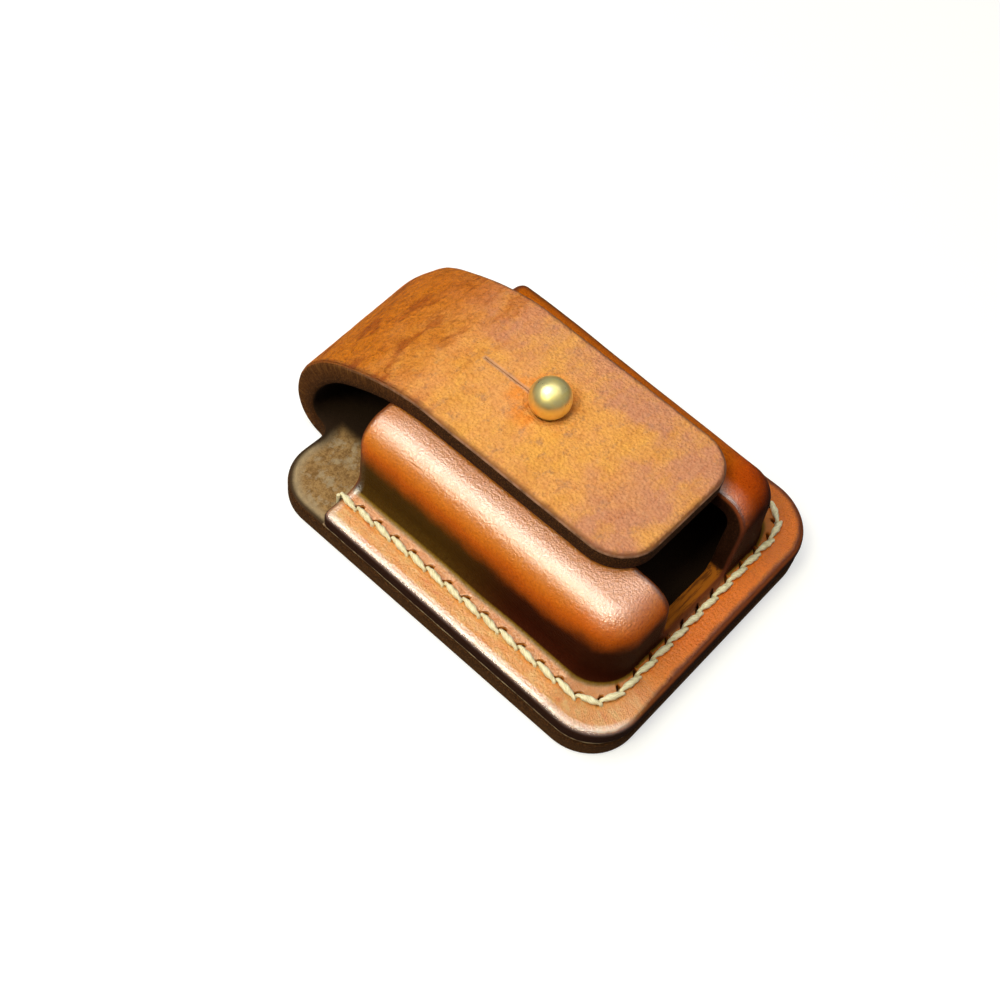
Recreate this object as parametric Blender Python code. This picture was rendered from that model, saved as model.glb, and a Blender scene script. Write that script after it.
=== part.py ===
"""Leather case for a pocket lighter, modelled as it is made: a thick back leather that runs on
over the mouth as a folded strap and flap, a wet moulded front leather, two strands of saddle
stitching through both, and a ball stud that buttons the flap.

Metres, +Z up. The case lies on its back with the flap closed. The origin is on the back face, under
the middle of the whole length. The mouth and the fold are towards +Y, the closed end towards -Y."""

import math

import bmesh
import bpy
from mathutils import Matrix, Vector

# Fits
clearance = 0.0003
overrun = 0.002
weld_distance = 0.000003

# Leathers
back_leather = 0.0038
front_leather = 0.003
edge_round = 0.0005
edge_steps = 2

# The lighter that the pocket is moulded round, and the room left about it
lighter_width = 0.0381
lighter_depth = 0.0127
side_room = 0.00015
head_room = 0.0025

# Panels, seen from the front
side_margin = 0.0085
foot_margin = 0.0062
pocket_length = 0.0553
shoulder_reach = 0.0115
case_corner = 0.0088
shoulder_corner = 0.0088
strap_width = 0.0299
strap_root_width = 0.0324
strap_root_round = 0.0015

# The moulded pocket
pocket_corner = 0.006
pocket_edge = 0.005
crease_round = 0.0012
wall_draft = 0.0003
crown_corner_share = 0.25

# Fold and flap. The crown's share is of the rise from the fold's middle to the top of the flap
fold_radius = 0.008
crown_radius_share = 0.856
flap_slope = math.radians(22)
fold_reach = 0.006
tip_setback = 0.0128
tip_corner = 0.0075

# Finger notch at the closed end
notch_width = 0.016
notch_crown_width = 0.02
notch_depth = 0.0161
notch_corner = 0.0026
notch_lip = 0.0006

# Saddle stitching
stitch_inset = 0.0047
stitch_corner = 0.0055
stitch_pitch = 0.004
stitch_over_edge = 0.0009
thread_width = 0.0008
thread_lift = 0.00015
awl_half_across = 0.0005
awl_half_along = 0.00025
awl_slit_length = 0.0026
awl_slit_width = 0.0012
back_groove_width = 0.0023
back_groove_depth = 0.0011

# Ball stud and its screw
stud_from_foot = 0.041
ball_diameter = 0.007
ball_sink = 0.0008
stud_neck = 0.0038
stud_collar = 0.008
stud_collar_height = 0.0009
stud_bore = 0.0026
screw_shank = 0.0022
screw_engagement = 0.0025
screw_head = 0.008
screw_head_height = 0.0012
screw_ease = 0.0003
screw_slot_width = 0.0009
screw_slot_depth = 0.0006

# Buttonhole
hole_diameter = 0.0046
slit_length = 0.0135
slit_width = 0.0004
lips_width = 0.0084
lips_towards_tip = 0.0075
lips_towards_fold = 0.0045

# Levels, from the back face up
back_top = back_leather
shell_foot = back_top + clearance
flange_top = shell_foot + front_leather
pocket_ceiling = back_top + lighter_depth + head_room
pocket_top = pocket_ceiling + front_leather
flap_under = pocket_top + clearance
flap_top = flap_under + back_leather

# Widths and places along the case
pocket_half_inside = lighter_width / 2 + side_room
pocket_half = pocket_half_inside + front_leather
case_half = pocket_half + side_margin
mouth_from_foot = foot_margin + pocket_length
shoulder_from_foot = mouth_from_foot + shoulder_reach
whole_length = shoulder_from_foot + strap_root_round + fold_radius
foot_y = -whole_length / 2
mouth_y = foot_y + mouth_from_foot
shoulder_y = foot_y + shoulder_from_foot
lower_fold_y = shoulder_y + strap_root_round
tip_y = foot_y + tip_setback
stud_y = foot_y + stud_from_foot
wall_y = foot_y + foot_margin

# The fold: a tight lower bend, a wider crown, then a long easy curve that ends level with the flap
rise = flap_top - fold_radius
crown_radius = rise * crown_radius_share
crown_y = lower_fold_y + fold_radius - crown_radius
easy_radius = (rise - crown_radius * math.cos(flap_slope)) / (1 - math.cos(flap_slope))
easy_y = crown_y - (easy_radius - crown_radius) * math.sin(flap_slope)
easy_z = flap_top - easy_radius
hinge_y = lower_fold_y + fold_radius - back_leather / 2
hinge_z = fold_radius
lower_middle_radius = fold_radius - back_leather / 2
crown_middle_radius = crown_radius - back_leather / 2
easy_middle_radius = easy_radius - back_leather / 2
lower_reach_angle = 2 * math.asin(fold_reach / 2 / lower_middle_radius)
crown_reach_angle = 2 * math.asin(fold_reach / 2 / crown_middle_radius)
lower_gap_angle = clearance / lower_middle_radius
crown_gap_angle = clearance / crown_middle_radius

# Lengths along the middle of the leather, from the strap's root to where the flap is flat
lower_length = lower_middle_radius * math.pi / 2
crown_length = crown_middle_radius * (math.pi / 2 - flap_slope)
bend_length = lower_length + crown_length + easy_middle_radius * flap_slope

# The pocket droops under the easy curve, from here on towards the mouth
droop_y = min(easy_y, mouth_y - pocket_edge)
droop_radius = easy_radius - back_leather - clearance

# Counts of facets, and the angles above which an edge counts as one
corner_steps = 8
fold_steps = 6
droop_steps = 4
turned_steps = 28
shading_angle = math.radians(35)
worked_edge_angle = math.radians(60)


def clear_scene():
    for obj in list(bpy.data.objects):
        bpy.data.objects.remove(obj)


def material(name, colour, roughness, metallic=0.0):
    made = bpy.data.materials.new(name)
    made.use_nodes = True
    made.diffuse_color = (*colour, 1.0)
    shader = made.node_tree.nodes["Principled BSDF"]
    shader.inputs["Base Color"].default_value = (*colour, 1.0)
    shader.inputs["Roughness"].default_value = roughness
    shader.inputs["Metallic"].default_value = metallic
    return made


def mesh_object(name, bm, finish=None):
    """Turns a bmesh into a linked object, shaded smooth but for its real edges."""
    bmesh.ops.recalc_face_normals(bm, faces=bm.faces)
    mesh = bpy.data.meshes.new(name)
    bm.to_mesh(mesh)
    bm.free()
    mesh.shade_smooth()
    mesh.set_sharp_from_angle(angle=shading_angle)
    obj = bpy.data.objects.new(name, mesh)
    bpy.context.scene.collection.objects.link(obj)
    if finish is not None:
        mesh.materials.append(finish)
    return obj


def cutter_object(name, bm):
    obj = mesh_object(name, bm)
    obj.hide_render = True
    obj.display_type = "WIRE"
    return obj


def cut(obj, other):
    modifier = obj.modifiers.new(other.name, "BOOLEAN")
    modifier.operation = "DIFFERENCE"
    modifier.object = other
    modifier.solver = "EXACT"


def arc(centre_x, centre_y, radius, start, end, steps):
    """Points on an arc in plan, both ends included, angles in degrees."""
    points = []
    for step in range(steps + 1):
        angle = math.radians(start + (end - start) * step / steps)
        points.append((centre_x + radius * math.cos(angle), centre_y + radius * math.sin(angle)))
    return points


def tub_outline(half, foot, mouth, corner):
    """The closed outline of a panel with square mouth corners and rounded ones at the closed end.

    Its straight sides have a point at each place where the pocket's droop needs one."""
    places = [mouth + (droop_y - mouth) * step / droop_steps for step in range(droop_steps + 1)]
    points = [(-half, y) for y in places]
    points += arc(corner - half, foot + corner, corner, 180, 270, corner_steps)
    points += arc(half - corner, foot + corner, corner, 270, 360, corner_steps)
    points += [(half, y) for y in reversed(places)]
    return points


def loft(bm, rings, flat_mouth=False):
    """A closed solid through level rings that have the same number of points.

    With flat_mouth, the rings are tub outlines: the side between each ring's last and first points
    is one flat face, and the top is strips from side to side, so that it can droop."""
    levels = [[bm.verts.new((x, y, z)) for x, y in outline] for outline, z in rings]
    count = len(levels[0])
    for low, high in zip(levels, levels[1:]):
        for index in range(count - 1 if flat_mouth else count):
            after = (index + 1) % count
            bm.faces.new((low[index], low[after], high[after], high[index]))
    bm.faces.new(levels[0][::-1])
    top = levels[-1]
    if flat_mouth:
        bm.faces.new([level[0] for level in levels] + [level[-1] for level in reversed(levels)])
        for index in range(count // 2 - 1):
            bm.faces.new((top[index], top[index + 1], top[-index - 2], top[-index - 1]))
    else:
        bm.faces.new(top)


def prism(bm, outline, low, high):
    loft(bm, [(outline, low), (outline, high)])


def end_face(bm):
    """The face at the +Y end, from which a strap is bent."""
    return max(bm.faces, key=lambda face: min(vert.co.y for vert in face.verts))


def strap_half(run):
    """Half the strap's width, run being the distance from its root along the middle of the bend."""
    return (strap_root_width + (strap_width - strap_root_width) * run / bend_length) / 2


def bend_on(bm, face, centre_y, centre_z, angle, runs):
    """Carries a strap's end face round an axis along X, and returns the new end face.

    The strap's width follows its run, from the first to the last of the two in runs."""
    turn = Matrix.Rotation(angle / fold_steps, 3, "X")
    first, last = runs
    for step in range(1, fold_steps + 1):
        half = strap_half(first + (last - first) * step / fold_steps)
        grown = bmesh.ops.extrude_face_region(bm, geom=[face])["geom"]
        verts = [item for item in grown if isinstance(item, bmesh.types.BMVert)]
        if face.is_valid:
            bmesh.ops.delete(bm, geom=[face], context="FACES_ONLY")
        bmesh.ops.rotate(bm, verts=verts, cent=(0, centre_y, centre_z), matrix=turn)
        for vert in verts:
            vert.co.x = math.copysign(half, vert.co.x)
        face = [item for item in grown if isinstance(item, bmesh.types.BMFace)][0]
    return face


def soften(bm, cut_faces):
    """Rounds the worked edges of a leather piece, and leaves those round its cut faces sharp."""
    bmesh.ops.recalc_face_normals(bm, faces=bm.faces)
    kept = {edge for face in cut_faces for edge in face.edges}
    sharp = [
        edge
        for edge in bm.edges
        if edge not in kept and len(edge.link_faces) == 2 and edge.calc_face_angle() > worked_edge_angle
    ]
    bmesh.ops.bevel(
        bm, geom=sharp, offset=edge_round, segments=edge_steps, profile=0.5, affect="EDGES"
    )


def panel_outline():
    """Back panel in plan: rounded foot, rounded shoulders, and the strap's root between them."""
    corner, shoulder, root = case_corner, shoulder_corner, strap_root_round
    root_half = strap_half(0)
    left = []
    left += arc(shoulder - case_half, shoulder_y - shoulder, shoulder, 90, 180, corner_steps)
    left += arc(corner - case_half, foot_y + corner, corner, 180, 270, corner_steps)
    right = [(-x, y) for x, y in reversed(left)]
    root_left = arc(-root_half - root, shoulder_y + root, root, 0, -90, edge_steps)
    root_right = [(-x, y) for x, y in reversed(root_left)]
    return root_left + left + right + root_right


def stitch_places():
    """Each awl hole's centre, the way the seam runs there, and the way out to the case's edge."""
    half = case_half - stitch_inset
    foot = foot_y + stitch_inset
    start = mouth_y + stitch_over_edge
    side = start - foot - stitch_corner
    quarter = math.pi / 2 * stitch_corner
    across = 2 * (half - stitch_corner)
    total = 2 * side + 2 * quarter + across
    count = round(total / stitch_pitch)
    places = []
    for index in range(count + 1):
        run = total * index / count
        if run <= side:
            point, way = Vector((-half, start - run)), Vector((0, -1))
        elif run <= side + quarter:
            swept = (run - side) / stitch_corner
            centre = Vector((stitch_corner - half, foot + stitch_corner))
            point = centre - stitch_corner * Vector((math.cos(swept), math.sin(swept)))
            way = Vector((math.sin(swept), -math.cos(swept)))
        elif run <= side + quarter + across:
            point, way = Vector((stitch_corner - half + run - side - quarter, foot)), Vector((1, 0))
        elif run <= side + 2 * quarter + across:
            swept = (run - side - quarter - across) / stitch_corner
            centre = Vector((half - stitch_corner, foot + stitch_corner))
            point = centre + stitch_corner * Vector((math.sin(swept), -math.cos(swept)))
            way = Vector((math.cos(swept), math.sin(swept)))
        else:
            point, way = Vector((half, start - total + run)), Vector((0, 1))
        places.append((point, way, Vector((way.y, -way.x))))
    return places


def strand_route(phase):
    """One strand: over the front from each second hole to the next, and under the back between.

    It comes up at the pocket's side of a hole and goes down at the outer side of the next one."""
    front = flange_top + thread_lift + thread_width / 2
    back = back_groove_depth - thread_lift - thread_width / 2
    turn = thread_width / 2
    legs = []
    for index, (point, way, out) in enumerate(stitch_places()):
        up = (index + phase) % 2 == 0
        sign = -1 if up else 1
        foot = point + sign * (awl_half_across * out + awl_half_along * way)
        legs.append((foot, up))
    route = []
    for index, (foot, up) in enumerate(legs):
        before = legs[max(index - 1, 0)][0]
        after = legs[min(index + 1, len(legs) - 1)][0]
        first, last = (back, front) if up else (front, back)
        inward = turn if up else -turn
        if index > 0:
            step = (before - foot).normalized() * turn
            route.append((*(foot + step), first))
        route.append((*foot, first + inward))
        route.append((*foot, last - inward))
        if index < len(legs) - 1:
            step = (after - foot).normalized() * turn
            route.append((*(foot + step), last))
    return route


def make_strand(name, phase, finish):
    curve = bpy.data.curves.new(name, "CURVE")
    curve.dimensions = "3D"
    curve.bevel_depth = thread_width / 2
    curve.bevel_resolution = 1
    curve.use_fill_caps = True
    route = strand_route(phase)
    spline = curve.splines.new("POLY")
    spline.points.add(len(route) - 1)
    for point, place in zip(spline.points, route):
        point.co = (*place, 1)
    curve.materials.append(finish)
    obj = bpy.data.objects.new(name, curve)
    bpy.context.scene.collection.objects.link(obj)
    return obj


def awl_cutter():
    """All the slanted awl slits, from under the back to above the flange."""
    bm = bmesh.new()
    half_length, half_width = awl_slit_length / 2, awl_slit_width / 2
    shoulder = half_length - half_width / 2
    shape = [(-half_length, 0), (-shoulder, -half_width), (shoulder, -half_width)]
    shape += [(half_length, 0), (shoulder, half_width), (-shoulder, half_width)]
    for point, way, out in stitch_places():
        along = (awl_half_across * out + awl_half_along * way).normalized()
        beside = Vector((-along.y, along.x))
        outline = [tuple(point + u * along + v * beside) for u, v in shape]
        prism(bm, outline, -overrun, flange_top + overrun)
    return cutter_object("awl_slits", bm)


def groove_cutter():
    """The channel in the back face in which the back runs of the thread lie."""
    bm = bmesh.new()
    half_width = back_groove_width / 2
    end = mouth_y + stitch_over_edge + awl_slit_length / 2
    half = case_half - stitch_inset
    foot = foot_y + stitch_inset
    outer = tub_outline(half + half_width, foot - half_width, end, stitch_corner + half_width)
    inner = tub_outline(half - half_width, foot + half_width, end, stitch_corner - half_width)
    prism(bm, outer + inner[::-1], -overrun, back_groove_depth)
    return cutter_object("back_groove", bm)


def make_back_panel(finish, slits):
    bm = bmesh.new()
    prism(bm, panel_outline(), 0, back_top)
    bmesh.ops.remove_doubles(bm, verts=bm.verts, dist=weld_distance)
    turn = math.pi / 2 - lower_reach_angle - lower_gap_angle
    runs = (0, lower_middle_radius * turn)
    grown = bend_on(bm, end_face(bm), lower_fold_y, fold_radius, turn, runs)
    soften(bm, [grown])
    panel = mesh_object("back_panel", bm, finish)
    cut(panel, slits)
    cut(panel, groove_cutter())
    return panel


def pocket_rings(inset, ceiling, sink, reach):
    """Level rings of the moulded form. inset draws it in by a leather, sink carries it down."""
    half = pocket_half - inset
    foot = wall_y + inset
    corner = pocket_corner - inset
    top_round = pocket_edge - inset
    rings = [(tub_outline(half, foot, reach, corner), sink)]
    for step in range(fold_steps + 1):
        angle = math.pi / 2 * step / fold_steps
        drawn = wall_draft + top_round * (1 - math.cos(angle))
        level = ceiling - top_round * (1 - math.sin(angle))
        tighter = corner * (1 - crown_corner_share) * drawn / (wall_draft + top_round)
        keep = corner - tighter
        rings.append((tub_outline(half - drawn, foot + drawn, reach, keep), level))
    return rings


def droop(bm):
    """Lets the pocket down towards its mouth, as far as the flap comes down on it there."""
    for vert in bm.verts:
        past = max(vert.co.y - easy_y, 0)
        drop = droop_radius - math.sqrt(droop_radius**2 - past**2)
        share = (vert.co.z - flange_top) / (pocket_top - flange_top)
        vert.co.z -= drop * max(share, 0)


def notch_outline(half, corner):
    """The finger notch in plan: a round inner end, and sides that flare round the lobes' ends."""
    start = wall_y - crease_round - clearance
    right = [(half + corner, start)]
    right += arc(half + corner, wall_y + corner, corner, 270, 180, edge_steps + 2)
    left = [(-x, y) for x, y in reversed(right)]
    return right + arc(0, wall_y + notch_depth - half, half, 0, 180, 2 * corner_steps) + left


def make_front_shell(finish, slits):
    """Flange, crease, wall and crown are lofted as one solid, then hollowed from the mouth."""
    bm = bmesh.new()
    flange = tub_outline(case_half, foot_y, mouth_y, case_corner)
    eased = tub_outline(
        case_half - edge_round, foot_y + edge_round, mouth_y, case_corner - edge_round
    )
    rings = [(flange, shell_foot), (flange, flange_top - edge_round), (eased, flange_top)]
    for step in range(edge_steps + 2):
        angle = math.pi / 2 * step / (edge_steps + 1)
        spread = crease_round * (1 - math.sin(angle))
        level = flange_top + crease_round * (1 - math.cos(angle))
        outline = tub_outline(
            pocket_half + spread, wall_y - spread, mouth_y, pocket_corner + spread
        )
        rings.append((outline, level))
    rings += pocket_rings(0, pocket_top, flange_top, mouth_y)[1:]
    loft(bm, rings, flat_mouth=True)
    droop(bm)
    shell = mesh_object("front_shell", bm, finish)
    cut(shell, slits)

    bm = bmesh.new()
    hollow = pocket_rings(front_leather, pocket_ceiling, shell_foot - overrun, mouth_y + overrun)
    loft(bm, hollow, flat_mouth=True)
    droop(bm)
    cut(shell, cutter_object("pocket_hollow", bm))

    bm = bmesh.new()
    at_lip = notch_outline(notch_width / 2, crease_round)
    at_crown = notch_outline(notch_crown_width / 2, notch_corner)
    top = pocket_top + overrun
    loft(bm, [(at_lip, flange_top + notch_lip), (at_crown, pocket_top), (at_crown, top)])
    cut(shell, cutter_object("finger_notch", bm))

    bm = bmesh.new()
    seat, bore = stud_collar / 2 + clearance, stud_neck / 2 + clearance
    floor = stud_collar_height + clearance
    low, high = -front_leather - overrun, overrun
    turned(bm, [(0, low), (bore, low), (bore, -floor), (seat, -floor), (seat, high), (0, high)])
    recess = cutter_object("stud_seat", bm)
    recess.location = (0, stud_y, pocket_top)
    cut(shell, recess)
    return shell


def turned(bm, profile):
    """A solid of revolution round Z from (radius, height) points that start and end on the axis."""
    verts = [bm.verts.new((radius, 0, height)) for radius, height in profile]
    edges = [bm.edges.new(pair) for pair in zip(verts, verts[1:])]
    bmesh.ops.spin(
        bm, geom=verts + edges, cent=(0, 0, 0), axis=(0, 0, 1), angle=2 * math.pi, steps=turned_steps
    )
    bmesh.ops.remove_doubles(bm, verts=bm.verts, dist=weld_distance)
    bmesh.ops.dissolve_degenerate(bm, edges=bm.edges, dist=weld_distance)


def ball_centre_z():
    ball, neck = ball_diameter / 2, stud_neck / 2
    return flap_top - ball_sink + math.sqrt(ball**2 - neck**2)


def make_stud_ball(finish):
    """Post, collar, neck and ball turned in one, with a blind bore for the screw from below.

    The ball lies a little sunk in the buttonhole."""
    ball = ball_diameter / 2
    neck = stud_neck / 2
    bore = stud_bore / 2
    under = pocket_ceiling - pocket_top
    centre = ball_centre_z() - pocket_top
    bore_end = under + front_leather + screw_engagement
    collar = stud_collar / 2
    profile = [(0, bore_end), (bore, bore_end), (bore, under), (neck, under)]
    profile += [(neck, -stud_collar_height), (collar, -stud_collar_height), (collar, -clearance)]
    profile += [(collar - clearance, 0), (neck, 0)]
    start = -math.asin(math.sqrt(ball**2 - neck**2) / ball)
    for step in range(2 * fold_steps + 1):
        angle = start + (math.pi / 2 - start) * step / (2 * fold_steps)
        profile.append((ball * math.cos(angle), centre + ball * math.sin(angle)))
    profile[-1] = (0, centre + ball)
    bm = bmesh.new()
    turned(bm, profile)
    stud = mesh_object("stud_ball", bm, finish)
    stud.location = (0, stud_y, pocket_top)
    return stud


def make_stud_screw(finish):
    """Slotted screw from inside the pocket, its head flat under the front leather."""
    head, shank = screw_head / 2, screw_shank / 2
    length = front_leather + screw_engagement - clearance
    low = -screw_head_height
    ease = screw_ease
    profile = [(0, low), (head - ease, low), (head, low + ease), (head, 0), (shank, 0)]
    profile += [(shank, length - ease), (shank - ease, length), (0, length)]
    bm = bmesh.new()
    turned(bm, profile)
    screw = mesh_object("stud_screw", bm, finish)
    screw.location = (0, stud_y, pocket_ceiling - clearance)

    bm = bmesh.new()
    half, reach = screw_slot_width / 2, head + overrun
    outline = [(-half, -reach), (half, -reach), (half, reach), (-half, reach)]
    prism(bm, outline, low - overrun, low + screw_slot_depth)
    slot = cutter_object("screw_slot", bm)
    slot.location = screw.location
    cut(screw, slot)
    return screw


def stadium(half, low, high, steps):
    """A slot in plan along Y with round ends."""
    points = arc(0, low + half, half, 180, 360, steps)
    return points + arc(0, high - half, half, 0, 180, steps)


def slit_cutter(hinge):
    """The buttonhole's slit, cut from the stud's hole towards the fold."""
    bm = bmesh.new()
    half = slit_width / 2
    end = stud_y + slit_length
    outline = [(-half, stud_y), (half, stud_y), (half, end), (-half, end)]
    prism(bm, outline, flap_under - overrun, flap_top + overrun)
    return hang(cutter_object("buttonhole_slit", bm), hinge)


def hang(obj, hinge):
    """Puts a piece that is drawn in place on the hinge: its origin lies on the fold's axis."""
    obj.data.transform(Matrix.Translation(-hinge.location))
    obj.parent = hinge
    return obj


def make_flap(finish, hinge, slit):
    """The free end of the back leather: a flat tongue with round corners, bent down at the fold."""
    bm = bmesh.new()
    half, corner = strap_width / 2, tip_corner
    outline = [(-half, easy_y)]
    outline += arc(corner - half, tip_y + corner, corner, 180, 270, corner_steps)
    outline += arc(half - corner, tip_y + corner, corner, 270, 360, corner_steps)
    outline.append((half, easy_y))
    prism(bm, outline, flap_under, flap_top)
    runs = (bend_length, lower_length + crown_length)
    eased = bend_on(bm, end_face(bm), easy_y, easy_z, -flap_slope, runs)
    stop = crown_reach_angle + crown_gap_angle
    runs = (lower_length + crown_length, lower_length + crown_middle_radius * stop)
    turn = stop + flap_slope - math.pi / 2
    root = bend_on(bm, eased, crown_y, fold_radius, turn, runs)
    soften(bm, [root])
    flap = hang(mesh_object("flap", bm, finish), hinge)

    bm = bmesh.new()
    low, high = stud_y - lips_towards_tip, stud_y + lips_towards_fold
    outline = stadium(lips_width / 2 + clearance, low - clearance, high + clearance, corner_steps)
    prism(bm, outline, flap_under - overrun, flap_top + overrun)
    cut(flap, hang(cutter_object("lips_window", bm), hinge))
    cut(flap, slit)

    bm = bmesh.new()
    prism(bm, stadium(lips_width / 2, low, high, corner_steps), flap_under, flap_top)
    lips = hang(mesh_object("buttonhole_lips", bm, finish), hinge)
    bm = bmesh.new()
    centre = ball_centre_z()
    low, bore, dish = flap_under - overrun - centre, hole_diameter / 2, ball_diameter / 2 + clearance
    start = -math.acos(bore / dish)
    profile = [(0, low), (bore, low)]
    for step in range(fold_steps + 1):
        angle = start * (1 - step / fold_steps)
        profile.append((dish * math.cos(angle), dish * math.sin(angle)))
    turned(bm, profile + [(0, 0)])
    hole = cutter_object("button_hole", bm)
    hole.parent = hinge
    hole.location = Vector((0, stud_y, centre)) - hinge.location
    cut(lips, hole)
    cut(lips, slit)
    return flap, lips


def make_fold(finish, hinge):
    """The short stretch of leather that does the bending, on both sides of the fold's axis."""
    bm = bmesh.new()
    stations = []
    for step in range(fold_steps + 1):
        angle = -lower_reach_angle * (1 - step / fold_steps)
        run = lower_length + lower_middle_radius * angle
        stations.append((lower_fold_y, fold_radius, angle, run))
    for step in range(1, fold_steps + 1):
        angle = crown_reach_angle * step / fold_steps
        run = lower_length + crown_middle_radius * angle
        stations.append((crown_y, crown_radius, angle, run))
    rings = []
    for centre_y, radius, angle, run in stations:
        half = strap_half(run)
        ring = []
        for x, depth in [(-half, 0), (half, 0), (half, back_leather), (-half, back_leather)]:
            reach = radius - depth
            place = (x, centre_y + reach * math.cos(angle), fold_radius + reach * math.sin(angle))
            ring.append(bm.verts.new(place))
        rings.append(ring)
    for low, high in zip(rings, rings[1:]):
        for index in range(4):
            after = (index + 1) % 4
            bm.faces.new((low[index], low[after], high[after], high[index]))
    ends = [bm.faces.new(rings[0][::-1]), bm.faces.new(rings[-1])]
    soften(bm, ends)
    return hang(mesh_object("strap_fold", bm, finish), hinge)


def build():
    clear_scene()
    back = material("back_leather", (0.62, 0.36, 0.15), 0.6)
    front = material("front_leather", (0.55, 0.24, 0.05), 0.4)
    thread = material("waxed_thread", (0.85, 0.8, 0.66), 0.6)
    brass = material("brass", (0.8, 0.68, 0.36), 0.22, 1.0)

    hinge = bpy.data.objects.new("flap_hinge", None)
    hinge.location = (0, hinge_y, hinge_z)
    bpy.context.scene.collection.objects.link(hinge)
    bpy.context.view_layer.update()

    slits = awl_cutter()
    make_back_panel(back, slits)
    make_front_shell(front, slits)
    make_strand("thread_strand_one", 0, thread)
    make_strand("thread_strand_two", 1, thread)
    make_stud_ball(brass)
    make_stud_screw(brass)
    make_flap(back, hinge, slit_cutter(hinge))
    make_fold(back, hinge)


build()
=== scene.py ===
"""Looks of a moulded leather lighter case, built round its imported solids.

Both leathers are made as a leather worker makes them: a flat pattern is cut out with its holes, its
edges are rounded, and it is then bent or wet moulded to shape. Two strands of waxed thread are worked
through both in saddle stitch, and a turned brass stud with a slotted screw buttons the flap.

Metres, +Z up, in the part's own frame: the case lies on its back, the mouth and the fold are towards
+Y and the closed end towards -Y.
"""

import logging
import math
from collections.abc import Sequence
from dataclasses import dataclass, field
from enum import Enum
from functools import cached_property

import bmesh
import bpy
import numpy as np
from mathutils import Matrix, Vector, kdtree, noise
from mathutils.geometry import delaunay_2d_cdt


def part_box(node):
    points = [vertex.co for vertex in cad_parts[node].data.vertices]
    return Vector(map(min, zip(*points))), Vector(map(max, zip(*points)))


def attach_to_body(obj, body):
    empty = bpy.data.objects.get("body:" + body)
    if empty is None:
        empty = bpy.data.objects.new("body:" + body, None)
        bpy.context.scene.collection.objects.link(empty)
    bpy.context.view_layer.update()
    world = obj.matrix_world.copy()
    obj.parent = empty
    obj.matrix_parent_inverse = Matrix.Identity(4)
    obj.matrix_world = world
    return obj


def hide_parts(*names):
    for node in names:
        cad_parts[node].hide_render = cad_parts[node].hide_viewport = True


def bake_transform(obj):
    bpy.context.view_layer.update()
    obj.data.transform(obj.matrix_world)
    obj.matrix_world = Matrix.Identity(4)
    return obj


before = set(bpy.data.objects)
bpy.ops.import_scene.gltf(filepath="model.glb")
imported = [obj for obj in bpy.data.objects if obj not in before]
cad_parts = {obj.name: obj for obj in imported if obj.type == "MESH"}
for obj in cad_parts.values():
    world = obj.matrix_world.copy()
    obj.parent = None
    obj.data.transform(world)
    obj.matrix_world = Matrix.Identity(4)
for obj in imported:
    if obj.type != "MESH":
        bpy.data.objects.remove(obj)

log = logging.getLogger("lighter_case")

MM = 0.001
FAR_OFF = 50 * MM
Triple = tuple[float, float, float]
Colour = Triple
Socket = bpy.types.NodeSocket
# Low and high end of a smooth step and, where they aren't 0 and 1, what it gives at each
Ramp = tuple[float, ...]


class Slot(Enum):
    """Names for material slots; nothing in this script uses them."""

    BACK = "back_leather"
    FRONT = "front_leather"
    THREAD = "waxed_thread"
    BRASS = "brass"


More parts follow.
